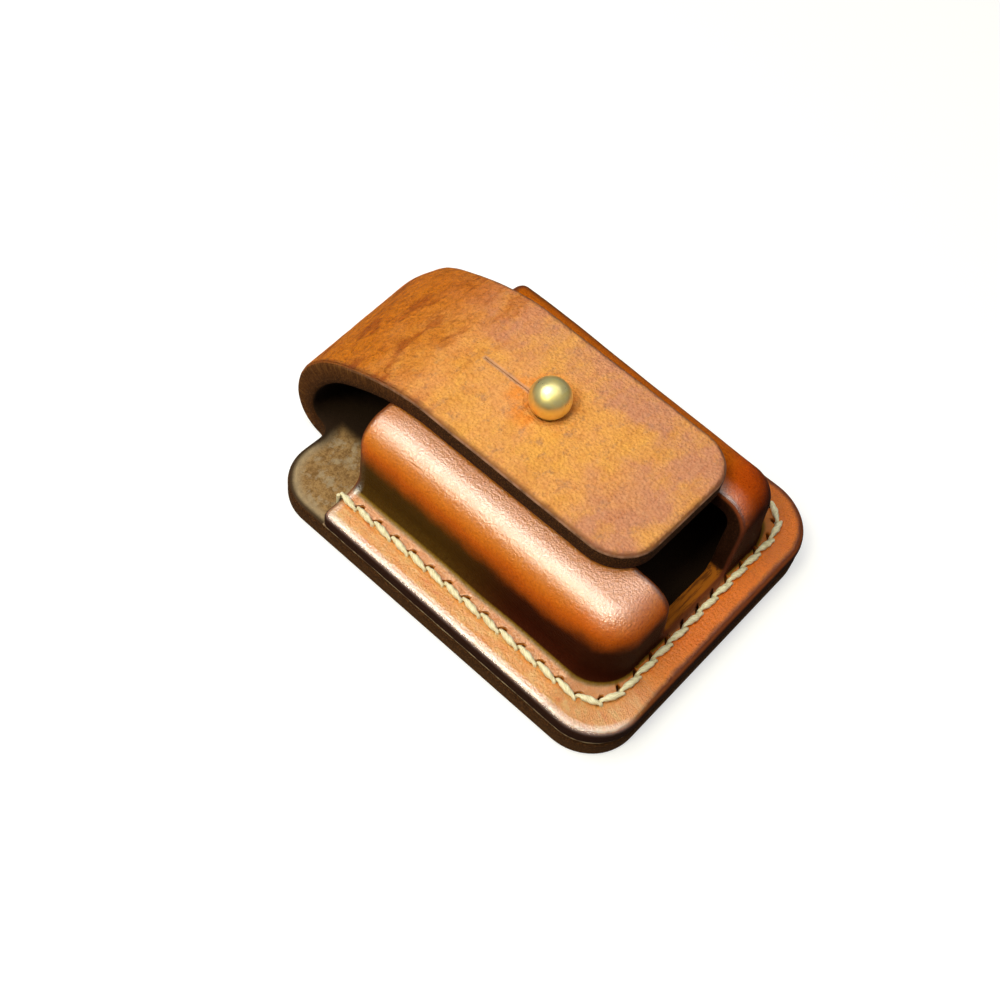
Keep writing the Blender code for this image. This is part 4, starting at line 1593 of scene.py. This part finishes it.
@dataclass(frozen=True)
class GlueFinish:
    """The pale film between the two leathers."""

    pale: Colour = (0.50, 0.36, 0.20)
    dark: Colour = (0.16, 0.08, 0.035)
    smears: Mottle = Mottle(1.5 * MM, 3.0, 0.6, ramp=(0.4, 0.62))
    smear_depth: float = 0.05 * MM
    roughness: float = 0.5

    def material(self) -> bpy.types.Material:
        """Builds the material.

        Returns:
            The material.
        """
        graph = Graph("glue_line_finish")
        smear = graph.swells(graph.attribute("rest_place"), self.smears)
        colour = graph.mix(graph.step(smear, *self.smears.ramp), self.dark, self.pale)
        return graph.finish(colour, self.roughness, graph.bump(smear, self.smear_depth))


def flange_plan(sizes: CaseSizes, short: float, steps: int) -> np.ndarray:
    """The flange's edge in plan.

    Args:
        sizes: Sizes of the case.
        short: How far it ends short of the mouth.
        steps: Number of steps round a corner.

    Returns:
        The points, from the near side of the mouth round to the far one.
    """
    half, corner, far = sizes.case_half, sizes.case_corner, sizes.far_corner
    return np.vstack([
        [(-half, sizes.mouth_at(-half) - short)],
        arc((corner - half, sizes.foot_y + corner), corner, 180, 270, steps),
        arc((half - far, sizes.foot_y + far), far, 270, 360, steps),
        [(half, sizes.mouth_at(half) - short)],
    ])


@dataclass
class BackLeather:
    """The long leather: back panel, strap, fold and flap with its buttonhole in one piece.

    Attributes:
        sizes: Sizes of the case.
        seam: The line of stitching.
        form: The course of the strap.
        hole_radius: Radius of the buttonhole at the ball.
        hole_round: Radius of its rims.
        slit_half: Half the slit's width.
        far_widening: How much further the strap reaches on its far side.
        edge_round: Radius of the burnished edges.
        spacing: Mesh size on the grain side.
        inner_spacing: Mesh size on the suede side.
        past_mouth: How far the mesh's lines along the seam run on past the mouth.
        seam_lines: Their distances from the seam, in millimetres.
        hole_rings: Radii of the mesh's rings round the buttonhole, in millimetres.
        bend_low: Not used; meant as the height above the panel from which the strap bends with the flap.
        bend_high: Not used; meant as the height from which it moves with the flap alone.
    """

    sizes: CaseSizes
    seam: SeamLine
    form: StrapForm
    hole_radius: float = 2.45 * MM
    hole_round: float = 0.2 * MM
    slit_half: float = 0.02 * MM
    far_widening: float = 0.9 * MM
    edge_round: float = 0.75 * MM
    spacing: float = 0.75 * MM
    inner_spacing: float = 1.1 * MM
    past_mouth: float = 2.2 * MM
    seam_lines: tuple[float, ...] = (-1.6, -1.2, -0.8, -0.4, 0.4, 0.8, 1.2, 1.6)
    hole_rings: tuple[float, ...] = (3.1, 3.6, 4.1, 4.6, 5.1, 5.6)
    bend_low: float = 0.5 * MM
    bend_high: float = 16 * MM

    def outline(self) -> np.ndarray:
        """The pattern's outline.

        Returns:
            The points, across the strap and along it from its root.
        """
        s, form = self.sizes, self.form
        foot, shoulder = s.foot_y - s.root_y, s.shoulder_y - s.root_y
        corner, root, tip = s.case_corner, s.strap_root_round, s.tip_corner
        end = form.run_of_flap(s.tip_y)
        right = [
            arc((s.case_half - corner, foot + corner), corner, 270, 360, 16),
            arc((s.case_half - corner, shoulder - corner), corner, 0, 90, 16),
            arc((s.strap_root_half + root, shoulder + root), root, 270, 180, 8),
            [(s.strap_half, form.flat_run)],
            arc((s.strap_half - tip, end - tip), tip, 0, 90, 16),
        ]
        left = np.vstack(right) * (-1, 1)
        wide, far = self.far_widening, s.far_corner
        right[0] = arc((s.case_half - far, foot + far), far, 270, 360, 16)
        right[2] = right[2] + (wide, 0)
        right[3] = [(s.strap_half + 0.7 * wide, form.flat_run)]
        return np.vstack([*right, left[::-1]])

    def buttonhole(self) -> np.ndarray:
        """A round hole with a slit from it towards the fold.

        Returns:
            The points of its rim.
        """
        centre = self.form.run_of_flap(self.sizes.stud_y)
        end = centre - self.sizes.slit_length
        reach = math.degrees(math.asin(self.slit_half / self.hole_radius))
        round_part = arc((0, centre), self.hole_radius, 270 + reach, 630 - reach, 32)
        share = np.linspace(0.0, 1.0, 20)[1:]
        start = round_part[-1, 1]
        left = np.stack([np.full(len(share), -self.slit_half), start + (end - start) * share], 1)
        return np.vstack([round_part, left, (left * (-1, 1))[::-1]])

    def build(self) -> bpy.types.Object:
        """Cuts, bends and dresses the leather.

        Returns:
            The finished piece.
        """
        shift = np.array([0.0, -self.sizes.root_y])
        cuts = [
            CutLine(resample(self.outline(), self.spacing), self.edge_round),
            CutLine(self.buttonhole(), self.hole_round, hole=True, round_steps=3),
            *(self.seam.cut(self.seam.slit(stitch) + shift) for stitch in self.seam.stitches()),
        ]
        end = self.sizes.mouth_y + self.past_mouth
        guides = [self.seam.beside(offset * MM, end) + shift for offset in self.seam_lines]
        centre = (0.0, self.form.run_of_flap(self.sizes.stud_y))
        guides += [arc(centre, radius * MM, 0, 355, 35) for radius in self.hole_rings]
        name = "back_and_flap_leather"
        obj = LeatherPiece(name, self.form, cuts, self.spacing, self.inner_spacing, guides).build()
        obj.data.materials.append(BackLeatherFinish().material(self.sizes, self.form))
        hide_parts("back_panel", "strap_fold", "flap", "buttonhole_lips")
        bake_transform(obj)
        return obj


@dataclass
class FrontLeather:
    """The wet moulded pocket with its flange, finger notch and stud seat.

    Attributes:
        sizes: Sizes of the case.
        seam: The line of stitching.
        form: The moulded form.
        edge_round: Radius of the flange's upper edge.
        notch_round: Radius of the notch's outer edge.
        foot_round: Radius of their inner edges.
        lip_height: Height of the notch's lip over the flange.
        lip_corner: Radius of the notch's corners at its lip.
        mouth_corner: Radius of the mouth's two outer corners.
        stud_hole: Radius of the hole for the stud's neck.
        stud_round: Radius of its rims.
        spacing: Mesh size on the grain side.
        inner_spacing: Mesh size on the suede side.
        before_mouth: How far before the mouth the mesh's lines along the seam end.
        seam_lines: Their distances from the seam, in millimetres.
        seat_rings: Radii of the mesh's rings round the stud's seat, in millimetres.
    """

    sizes: CaseSizes
    seam: SeamLine
    form: PocketForm
    edge_round: float = 1.1 * MM
    notch_round: float = 1.1 * MM
    foot_round: float = 0.4 * MM
    lip_height: float = 1.0 * MM
    lip_corner: float = 1.5 * MM
    mouth_corner: float = 1.3 * MM
    stud_hole: float = 2.2 * MM
    stud_round: float = 0.15 * MM
    spacing: float = 0.7 * MM
    inner_spacing: float = 1.0 * MM
    before_mouth: float = 0.6 * MM
    seam_lines: tuple[float, ...] = (-1.3, -0.9, -0.5, 0.5, 0.9)
    seat_rings: tuple[float, ...] = (4.12, 4.24, 4.36, 4.48, 4.7)

    def outline(self) -> np.ndarray:
        """The pattern's outline: round the flange, then straight across the mouth.

        Returns:
            The points.
        """
        s, ease = self.sizes, self.mouth_corner
        first, last = s.mouth_at(-s.case_half), s.mouth_at(s.case_half)
        plan = flange_plan(s, ease, 24)
        flange = self.form.unfold(resample(plan, 0.4 * MM, closed=False))
        side = flange[-1, 0]
        right = arc((side - ease, last - ease), ease, 0, 90, 4)
        left = arc((ease - side, first - ease), ease, 90, 180, 4)
        return np.vstack([flange, right, left])

    def notch(self) -> np.ndarray:
        """The finger notch, from its lip over the wall's foot to its round end in the crown.

        Returns:
            The points of its rim.
        """
        s, corner = self.sizes, self.lip_corner
        low, high = s.notch_half, s.notch_crown_half
        lip = self.form.crown_foot - self.form.run_at_height(s.flange_top + self.lip_height)
        top = self.form.crown_foot
        share = np.linspace(0.0, 1.0, 16)
        width = low + (high - low) * smooth(0.0, 1.0, share)
        side = np.stack([width, (lip + corner) + (top - lip - corner) * share], 1)
        end = arc((0, s.wall_y + s.notch_depth - high), high, 0, 90, 24)
        right = np.vstack([arc((low - corner, lip + corner), corner, 270, 360, 8), side[1:], end])
        return np.vstack([right, (right * (-1, 1))[::-1]])

    def build(self) -> bpy.types.Object:
        """Cuts, moulds and dresses the leather.

        Returns:
            The finished piece.
        """
        s, seam, foot = self.sizes, self.seam, self.foot_round
        centre = (0, s.stud_y)
        cuts = [
            CutLine(resample(self.outline(), self.spacing), self.edge_round, inner_round=foot),
            CutLine(resample(self.notch(), 0.5 * MM), self.notch_round, True, inner_round=foot),
            CutLine(arc(centre, self.stud_hole, 0, 350, 35), self.stud_round, hole=True),
            *(seam.cut(self.form.unfold(seam.slit(stitch))) for stitch in seam.stitches()[1:-1]),
        ]
        end = s.mouth_y - self.before_mouth
        guides = [self.form.unfold(seam.beside(offset * MM, end)) for offset in self.seam_lines]
        guides += [arc(centre, radius * MM, 0, 355, 71) for radius in self.seat_rings]
        name = "moulded_front_leather"
        obj = LeatherPiece(name, self.form, cuts, self.spacing, self.inner_spacing, guides, 2).build()
        obj.data.materials.append(FrontLeatherFinish().material(s))
        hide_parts("front_shell")
        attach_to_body(obj, "case")
        return obj


@dataclass
class GlueLine:
    """The film of glue between the two leathers, all round the flange.

    Attributes:
        sizes: Sizes of the case.
        inset: How far it stays inside the edges.
        wall_gap: How far it ends before the pocket's wall.
        overlap: How far it reaches into each leather.
        waver: How uneven its outer edge is.
    """

    sizes: CaseSizes
    inset: float = 0.25 * MM
    wall_gap: float = 1.0 * MM
    overlap: float = 0.06 * MM
    waver: float = 0.08 * MM

    def build(self) -> bpy.types.Object:
        """Makes the thin ring.

        Returns:
            The finished piece.
        """
        s = self.sizes
        low = s.back_leather - self.overlap
        high = s.shell_foot + self.overlap
        line = resample(flange_plan(s, self.inset, 16), 1.0 * MM, closed=False)
        way = unit(np.gradient(line, axis=0))
        into = np.stack([-way[:, 1], way[:, 0]], 1)
        width = s.foot_margin - self.wall_gap
        waver = self.waver * unevenness(line, 2.5 * MM, 1.7)[:, None]
        rails = [
            (line + into * (self.inset + waver), high),
            (line + into * (self.inset + waver), low),
            (line + into * width, low),
            (line + into * width, high),
        ]
        bm = bmesh.new()
        rings = [[bm.verts.new((*p, z)) for p in rail] for rail, z in rails]
        for index in range(4):
            here, after = rings[index], rings[(index + 1) % 4]
            for step in range(len(line) - 1):
                bm.faces.new((here[step], here[step + 1], after[step + 1], after[step]))
        for step in (0, -1):
            bm.faces.new([ring[step] for ring in rings])
        obj = plain_object("glue_line", bm)
        obj.data.materials.append(GlueFinish().material())
        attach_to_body(obj, "case")
        return obj


def plain_object(name: str, bm: bmesh.types.BMesh) -> bpy.types.Object:
    """Turns a bmesh into a linked, smooth object that remembers its places at rest.

    Args:
        name: Name of the piece.
        bm: Its mesh, which is freed.

    Returns:
        The object.
    """
    bmesh.ops.recalc_face_normals(bm, faces=bm.faces)
    mesh = bpy.data.meshes.new(name)
    bm.to_mesh(mesh)
    bm.free()
    attach(mesh, "rest_place", np.array([vert.co for vert in mesh.vertices]))
    mesh.shade_smooth()
    mesh.set_sharp_from_angle(angle=math.radians(40))
    log.info("%s: %d vertices, %d faces", name, len(mesh.vertices), len(mesh.polygons))
    return added(name, mesh)


@dataclass
class SaddleStitching:
    """Two strands of waxed thread that pass each hole from opposite sides.

    Attributes:
        sizes: Sizes of the case.
        seam: The line of stitching.
        radius: Radius of the thread.
        sink: How far the front runs are pulled into the leather.
        back_sink: How far the back runs are pulled into theirs.
        lay: Length in which the thread's plies turn once.
        turn: Radius at which a strand turns into its hole.
        groove_depth: Depth of the groove in the back.
        around: Number of points round the thread.
        pulled: How thick the thread is where it is pulled tight, as a share.
        at_hole: How thick it is at its holes.
        full: How much thicker it is half way along a run.
        ply_low: Its radius between two plies, as a share.
        ply_high: How much further a ply stands out.
    """

    sizes: CaseSizes
    seam: SeamLine
    radius: float = 0.61 * MM
    sink: float = 0.22 * MM
    back_sink: float = 0.33 * MM
    lay: float = 4.4 * MM
    turn: float = 0.5 * MM
    groove_depth: float = 1.0 * MM
    around: int = 15
    pulled: float = 0.5
    at_hole: float = 0.53
    full: float = 0.45
    ply_low: float = 0.78
    ply_high: float = 0.26

    def corners(self, phase: int) -> np.ndarray:
        """Corner points of one strand's route.

        Args:
            phase: 0 for the strand that starts up through the first hole, else 1.

        Returns:
            The points in order.
        """
        front = self.sizes.flange_top - self.sink + self.radius
        back = self.groove_depth - self.radius + self.back_sink
        route = []
        for index, stitch in enumerate(self.seam.stitches()):
            rises = (index + phase) % 2 == 0
            sign = -1.0 if rises else 1.0
            offset = self.seam.hole_across * stitch.out + self.seam.hole_along * stitch.way
            foot = stitch.point + sign * offset
            ends = (back, front) if rises else (front, back)
            route += [(*foot, level) for level in ends]
        return np.array(route)

    def rounded(self, corners: np.ndarray) -> tuple[np.ndarray, np.ndarray]:
        """A route with its corners rounded and points where they are needed.

        Args:
            corners: The corner points.

        Returns:
            The points, and how thick the thread is at each, as a share.
        """
        points, swell = [corners[0]], [self.pulled]
        for before, here, after in zip(corners, corners[1:], corners[2:]):
            back, ahead = before - here, after - here
            near = min(self.turn, np.linalg.norm(back) / 2.2)
            far = min(self.turn, np.linalg.norm(ahead) / 2.2)
            first = here + back / np.linalg.norm(back) * near
            last = here + ahead / np.linalg.norm(ahead) * far
            for share in np.linspace(0.0, 1.0, 5):
                points.append((1 - share) ** 2 * first + 2 * share * (1 - share) * here + share**2 * last)
                swell.append(self.at_hole)
            flat = abs(after[2] - here[2]) < 1e-6
            stop = after - ahead / np.linalg.norm(ahead) * far
            for share in np.linspace(0.0, 1.0, 13 if flat else 4)[1:-1]:
                points.append(last + (stop - last) * share)
                fuller = self.at_hole + self.full * math.sin(math.pi * share) ** 0.7
                swell.append(fuller if flat else self.pulled)
        points.append(corners[-1])
        swell.append(self.pulled)
        return np.array(points), np.array(swell)

    def strand(self, name: str, phase: int) -> bpy.types.Object:
        """Sweeps the thread's three plied section along one route.

        Args:
            name: Name of the piece.
            phase: 0 or 1, as in corners.

        Returns:
            The strand's object.
        """
        points, swell = self.rounded(self.corners(phase))
        way = unit(np.gradient(points, axis=0))
        run = run_along(points)
        side = np.cross(way[0], (1.0, 0.0, 0.0))
        around = np.linspace(0.0, 2 * math.pi, self.around, endpoint=False)
        bm = bmesh.new()
        layer = bm.verts.layers.float_vector.new("pattern")
        rings = []
        for point, ahead, length, thick in zip(points, way, run, swell):
            side = side - ahead * (side @ ahead)
            side /= np.linalg.norm(side)
            up = np.cross(ahead, side)
            twist = 2 * math.pi * length / self.lay
            ply = self.ply_low + self.ply_high * np.abs(np.cos(1.5 * (around - twist)))
            ring = []
            for angle, bulge in zip(around, ply):
                reach = self.radius * thick * bulge
                vert = bm.verts.new(point + reach * (math.cos(angle) * side + math.sin(angle) * up))
                vert[layer] = Vector((self.radius * (angle - twist), length, 0.0))
                ring.append(vert)
            rings.append(ring)
        for low, high in zip(rings, rings[1:]):
            for index in range(self.around):
                after = (index + 1) % self.around
                bm.faces.new((low[index], low[after], high[after], high[index]))
        bm.faces.new(rings[0][::-1])
        bm.faces.new(rings[-1])
        return plain_object(name, bm)

    def build(self) -> list[bpy.types.Object]:
        """Makes and dresses both strands.

        Returns:
            The two strands.
        """
        finish = ThreadFinish().material()
        made = []
        for phase, number in enumerate(("one", "two")):
            obj = self.strand(f"stitching_strand_{number}", phase)
            obj.data.materials.append(finish)
            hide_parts(f"thread_strand_{number}")
            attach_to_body(obj, "case")
            made.append(obj)
        return made


@dataclass
class BallStud:
    """The turned stud that the flap buttons over, and the slotted screw that holds it.

    Attributes:
        sizes: Sizes of the case.
        neck: Radius of the neck.
        collar: Radius of the collar on the pocket.
        collar_height: Height of the collar.
        head: Radius of the screw's head.
        ease: Size of their bevels.
        head_height: Height of the screw's head.
        head_ease: Size of its bevel.
        head_gap: Its clearance under the leather.
        slot_width: Width of its slot.
        slot_depth: Depth of its slot.
        around: Number of steps round both.
    """

    sizes: CaseSizes
    neck: float = 1.9 * MM
    collar: float = 4.0 * MM
    collar_height: float = 0.9 * MM
    head: float = 4.0 * MM
    ease: float = 0.12 * MM
    head_height: float = 1.2 * MM
    head_ease: float = 0.3 * MM
    head_gap: float = 0.3 * MM
    slot_width: float = 0.9 * MM
    slot_depth: float = 0.6 * MM
    around: int = 72

    def turned(self, bm: bmesh.types.BMesh, profile: Sequence[Sequence[float]]) -> None:
        """Turns a profile of radius and height round the stud's axis."""
        verts = [bm.verts.new((radius, self.sizes.stud_y, height)) for radius, height in profile]
        edges = [bm.edges.new(pair) for pair in zip(verts, verts[1:])]
        turn = {"angle": 2 * math.pi, "steps": self.around}
        bmesh.ops.spin(bm, geom=verts + edges, cent=(0, self.sizes.stud_y, 0), axis=(0, 0, 1), **turn)
        bmesh.ops.remove_doubles(bm, verts=bm.verts, dist=0.002 * MM)
        bmesh.ops.dissolve_degenerate(bm, edges=bm.edges, dist=0.002 * MM)

    def stud(self) -> bpy.types.Object:
        """Turns the ball, its neck and its collar.

        Returns:
            The stud.
        """
        s = self.sizes
        ball, neck = s.ball_radius, self.neck
        ease, collar, top = self.ease, self.collar, s.pocket_top
        under, seat = top - s.front_leather, top - self.collar_height
        profile = [(0, under), (neck, under), (neck, seat), (collar - ease, seat)]
        profile += [(collar, seat + ease), (collar, top - ease), (collar - ease, top)]
        profile += [(neck + ease, top), (neck, top + ease)]
        start = -math.degrees(math.acos(neck / ball))
        profile += [(r, s.ball_centre_z + z) for r, z in arc((0, 0), ball, start, 90, 36)]
        profile[-1] = (0, s.ball_centre_z + ball)
        bm = bmesh.new()
        self.turned(bm, profile)
        return plain_object("ball_stud_turned", bm)

    def screw(self) -> bpy.types.Object:
        """Turns the screw's head under the crown, inside the pocket, and cuts its slot.

        Returns:
            The screw.
        """
        s, ease = self.sizes, self.head_ease
        top = s.pocket_top - s.front_leather - self.head_gap
        low = top - self.head_height
        profile = [(0, low), (self.head - ease, low), (self.head - 0.3 * ease, low + 0.3 * ease)]
        profile += [(self.head, low + ease), (self.head, top), (0, top)]
        bm = bmesh.new()
        self.turned(bm, profile)
        head = plain_object("slotted_screw_turned", bm)
        bm = bmesh.new()
        bmesh.ops.create_cube(bm, size=1.0)
        size = (self.slot_width, 3 * self.head, 2 * self.slot_depth)
        bmesh.ops.scale(bm, vec=size, verts=bm.verts)
        bmesh.ops.translate(bm, vec=(0, s.stud_y, low), verts=bm.verts)
        slot = plain_object("screw_slot_cut", bm)
        cut = head.modifiers.new("slot", "BOOLEAN")
        cut.operation, cut.object, cut.solver = "DIFFERENCE", slot, "EXACT"
        bpy.context.view_layer.update()
        evaluated = head.evaluated_get(bpy.context.evaluated_depsgraph_get())
        mesh = bpy.data.meshes.new_from_object(evaluated)
        head.modifiers.clear()
        head.data = mesh
        bpy.data.objects.remove(slot)
        return head

    def build(self) -> list[bpy.types.Object]:
        """Makes and dresses the stud and its screw.

        Returns:
            The two pieces.
        """
        finish = BrassFinish().material()
        made = []
        for obj, node in ((self.stud(), "stud_ball"), (self.screw(), "stud_screw")):
            obj.data.materials.clear()
            obj.data.materials.append(finish)
            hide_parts(node)
            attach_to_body(obj, "case")
            made.append(obj)
        return made


@dataclass(frozen=True)
class Lamp:
    """A round soft lamp that points at the case.

    Attributes:
        name: Its name.
        way: Direction towards it.
        distance: Its distance.
        size: Its diameter.
        power: Its power in watts.
        colour: Its colour.
    """

    name: str
    way: Triple
    distance: float
    size: float
    power: float
    colour: Colour = (1.0, 0.97, 0.9)

    def hang(self) -> None:
        """Adds the lamp to the scene."""
        light = bpy.data.lights.new(self.name, "AREA")
        light.shape, light.size, light.energy = "DISK", self.size, self.power
        light.color = self.colour
        way = Vector(self.way).normalized()
        obj = added(self.name, light)
        obj.location = way * self.distance
        obj.rotation_euler = way.to_track_quat("Z", "Y").to_euler()


@dataclass
class Studio:
    """Pale floor, soft light and the camera at the photograph's angle.

    Attributes:
        azimuth: Camera's azimuth in degrees, 0 looking along +Y.
        elevation: Its elevation in degrees.
        roll: Its roll in degrees.
        distance: Its distance from the target.
        target: The point it looks at.
        lens: Its focal length in millimetres.
        sensor: Width of its sensor in millimetres.
        clip: Nearest and furthest distance that it sees.
        lamps: A broad light, a small one that gives the gloss its highlights, and an overhead one.
        fill: Strength of the even light from all round.
        mirrored: Strength of the surround in reflections.
        floor_glow: Light that the floor adds where it is seen.
        floor_half: Half the floor's width.
        floor_drop: How far it lies below the case.
        paper: The floor's colour.
        paper_mirrored: Its colour in reflections.
        paper_roughness: Its roughness.
        paper_specular: Its own gloss.
    """

    azimuth: float = -57.6
    elevation: float = 54.8
    roll: float = 11.9
    distance: float = 0.22626
    target: Triple = (-0.00321, 0.00294, 0.0)
    lens: float = 47.28
    sensor: float = 36.0
    clip: tuple[float, float] = (0.01, 10.0)
    lamps: tuple[Lamp, ...] = (
        Lamp("key_light", (-0.30, 0.31, 0.90), 0.6, 0.5, 2.3),
        Lamp("side_light", (-0.58, 0.06, 0.78), 0.6, 0.17, 1.35, (1.0, 0.97, 0.68)),
        Lamp("top_light", (0.12, -0.06, 1.0), 0.7, 0.9, 1.9),
    )
    fill: float = 0.035
    mirrored: float = 0.3
    floor_glow: float = 0.6
    floor_half: float = 3.0
    floor_drop: float = 0.05 * MM
    paper: Colour = (0.5, 0.5, 0.5)
    paper_mirrored: Colour = (0.1, 0.1, 0.1)
    paper_roughness: float = 0.9
    paper_specular: float = 0.1

    def camera(self) -> None:
        """Sets the camera to the photograph's view."""
        a, e, r = (math.radians(v) for v in (self.azimuth, self.elevation, self.roll))
        back = Vector((math.sin(a) * math.cos(e), -math.cos(a) * math.cos(e), math.sin(e)))
        level = Vector((math.cos(a), math.sin(a), 0.0))
        up = back.cross(level)
        right = math.cos(r) * level + math.sin(r) * up
        above = -math.sin(r) * level + math.cos(r) * up
        camera = bpy.data.cameras.new("camera")
        camera.sensor_width = self.sensor
        camera.lens = self.lens
        camera.clip_start, camera.clip_end = self.clip
        turned = Matrix((right, above, back)).transposed().to_4x4()
        turned.translation = Vector(self.target) + self.distance * back
        obj = added("camera", camera)
        obj.matrix_world = turned
        bpy.context.scene.camera = obj

    def floor(self) -> None:
        """Lays a pale floor that the camera sees as white where it is lit."""
        bm = bmesh.new()
        bmesh.ops.create_grid(bm, x_segments=2, y_segments=2, size=self.floor_half)
        mesh = bpy.data.meshes.new("floor")
        bm.to_mesh(mesh)
        bm.free()
        obj = added("floor", mesh)
        obj.location.z = -self.floor_drop
        graph = Graph("floor_paper")
        rays = graph.node("ShaderNodeLightPath")
        paper = graph.mix(rays.outputs["Is Glossy Ray"], self.paper, self.paper_mirrored)
        graph.finish(paper, self.paper_roughness)
        graph.feed(graph.shader, {"Specular IOR Level": self.paper_specular})
        glow = graph.node("ShaderNodeEmission")
        graph.feed(glow, {"Strength": graph.times(rays.outputs["Is Camera Ray"], self.floor_glow)})
        both = graph.node("ShaderNodeAddShader", graph.shader.outputs[0], glow.outputs[0])
        graph.feed(graph.tree.nodes["Material Output"], {"Surface": both.outputs[0]})
        mesh.materials.append(graph.material)

    def world(self) -> None:
        """Sets an even pale surround, seen as white by the camera."""
        world = bpy.data.worlds.new("surround")
        bpy.context.scene.world = world
        world.use_nodes = True
        tree = world.node_tree
        background = tree.nodes["Background"]
        background.inputs["Color"].default_value = (1.0, 1.0, 1.0, 1.0)
        rays = tree.nodes.new("ShaderNodeLightPath")
        before: "Socket | None" = None
        for ray, most in (("Is Glossy Ray", self.mirrored), ("Is Camera Ray", 1.0)):
            pick = tree.nodes.new("ShaderNodeMapRange")
            pick.inputs["To Min"].default_value = self.fill
            pick.inputs["To Max"].default_value = most
            tree.links.new(rays.outputs[ray], pick.inputs["Value"])
            if before is not None:
                tree.links.new(before, pick.inputs["To Min"])
            before = pick.outputs[0]
        tree.links.new(before, background.inputs["Strength"])

    def build(self) -> None:
        """Sets the whole stage."""
        self.camera()
        self.floor()
        self.world()
        for lamp in self.lamps:
            lamp.hang()
        bpy.context.scene.view_settings.view_transform = "Standard"


def corners(box: tuple[Vector, Vector]) -> list[list[float]]:
    """A box's two corners as plain lists of numbers."""
    return [[float(value) for value in corner] for corner in box]


def main() -> None:
    """Builds the stage and every piece of the case in order."""
    logging.basicConfig(level=logging.INFO, format="%(name)s: %(message)s")
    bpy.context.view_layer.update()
    sizes = CaseSizes.from_frame()
    seam = SeamLine(sizes)
    strap = StrapForm(sizes, seam)
    pocket = PocketForm(sizes, seam, strap)
    Studio().build()
    BackLeather(sizes, seam, strap).build()
    FrontLeather(sizes, seam, pocket).build()
    GlueLine(sizes).build()
    SaddleStitching(sizes, seam).build()
    BallStud(sizes).build()


if __name__ == "__main__":
    main()
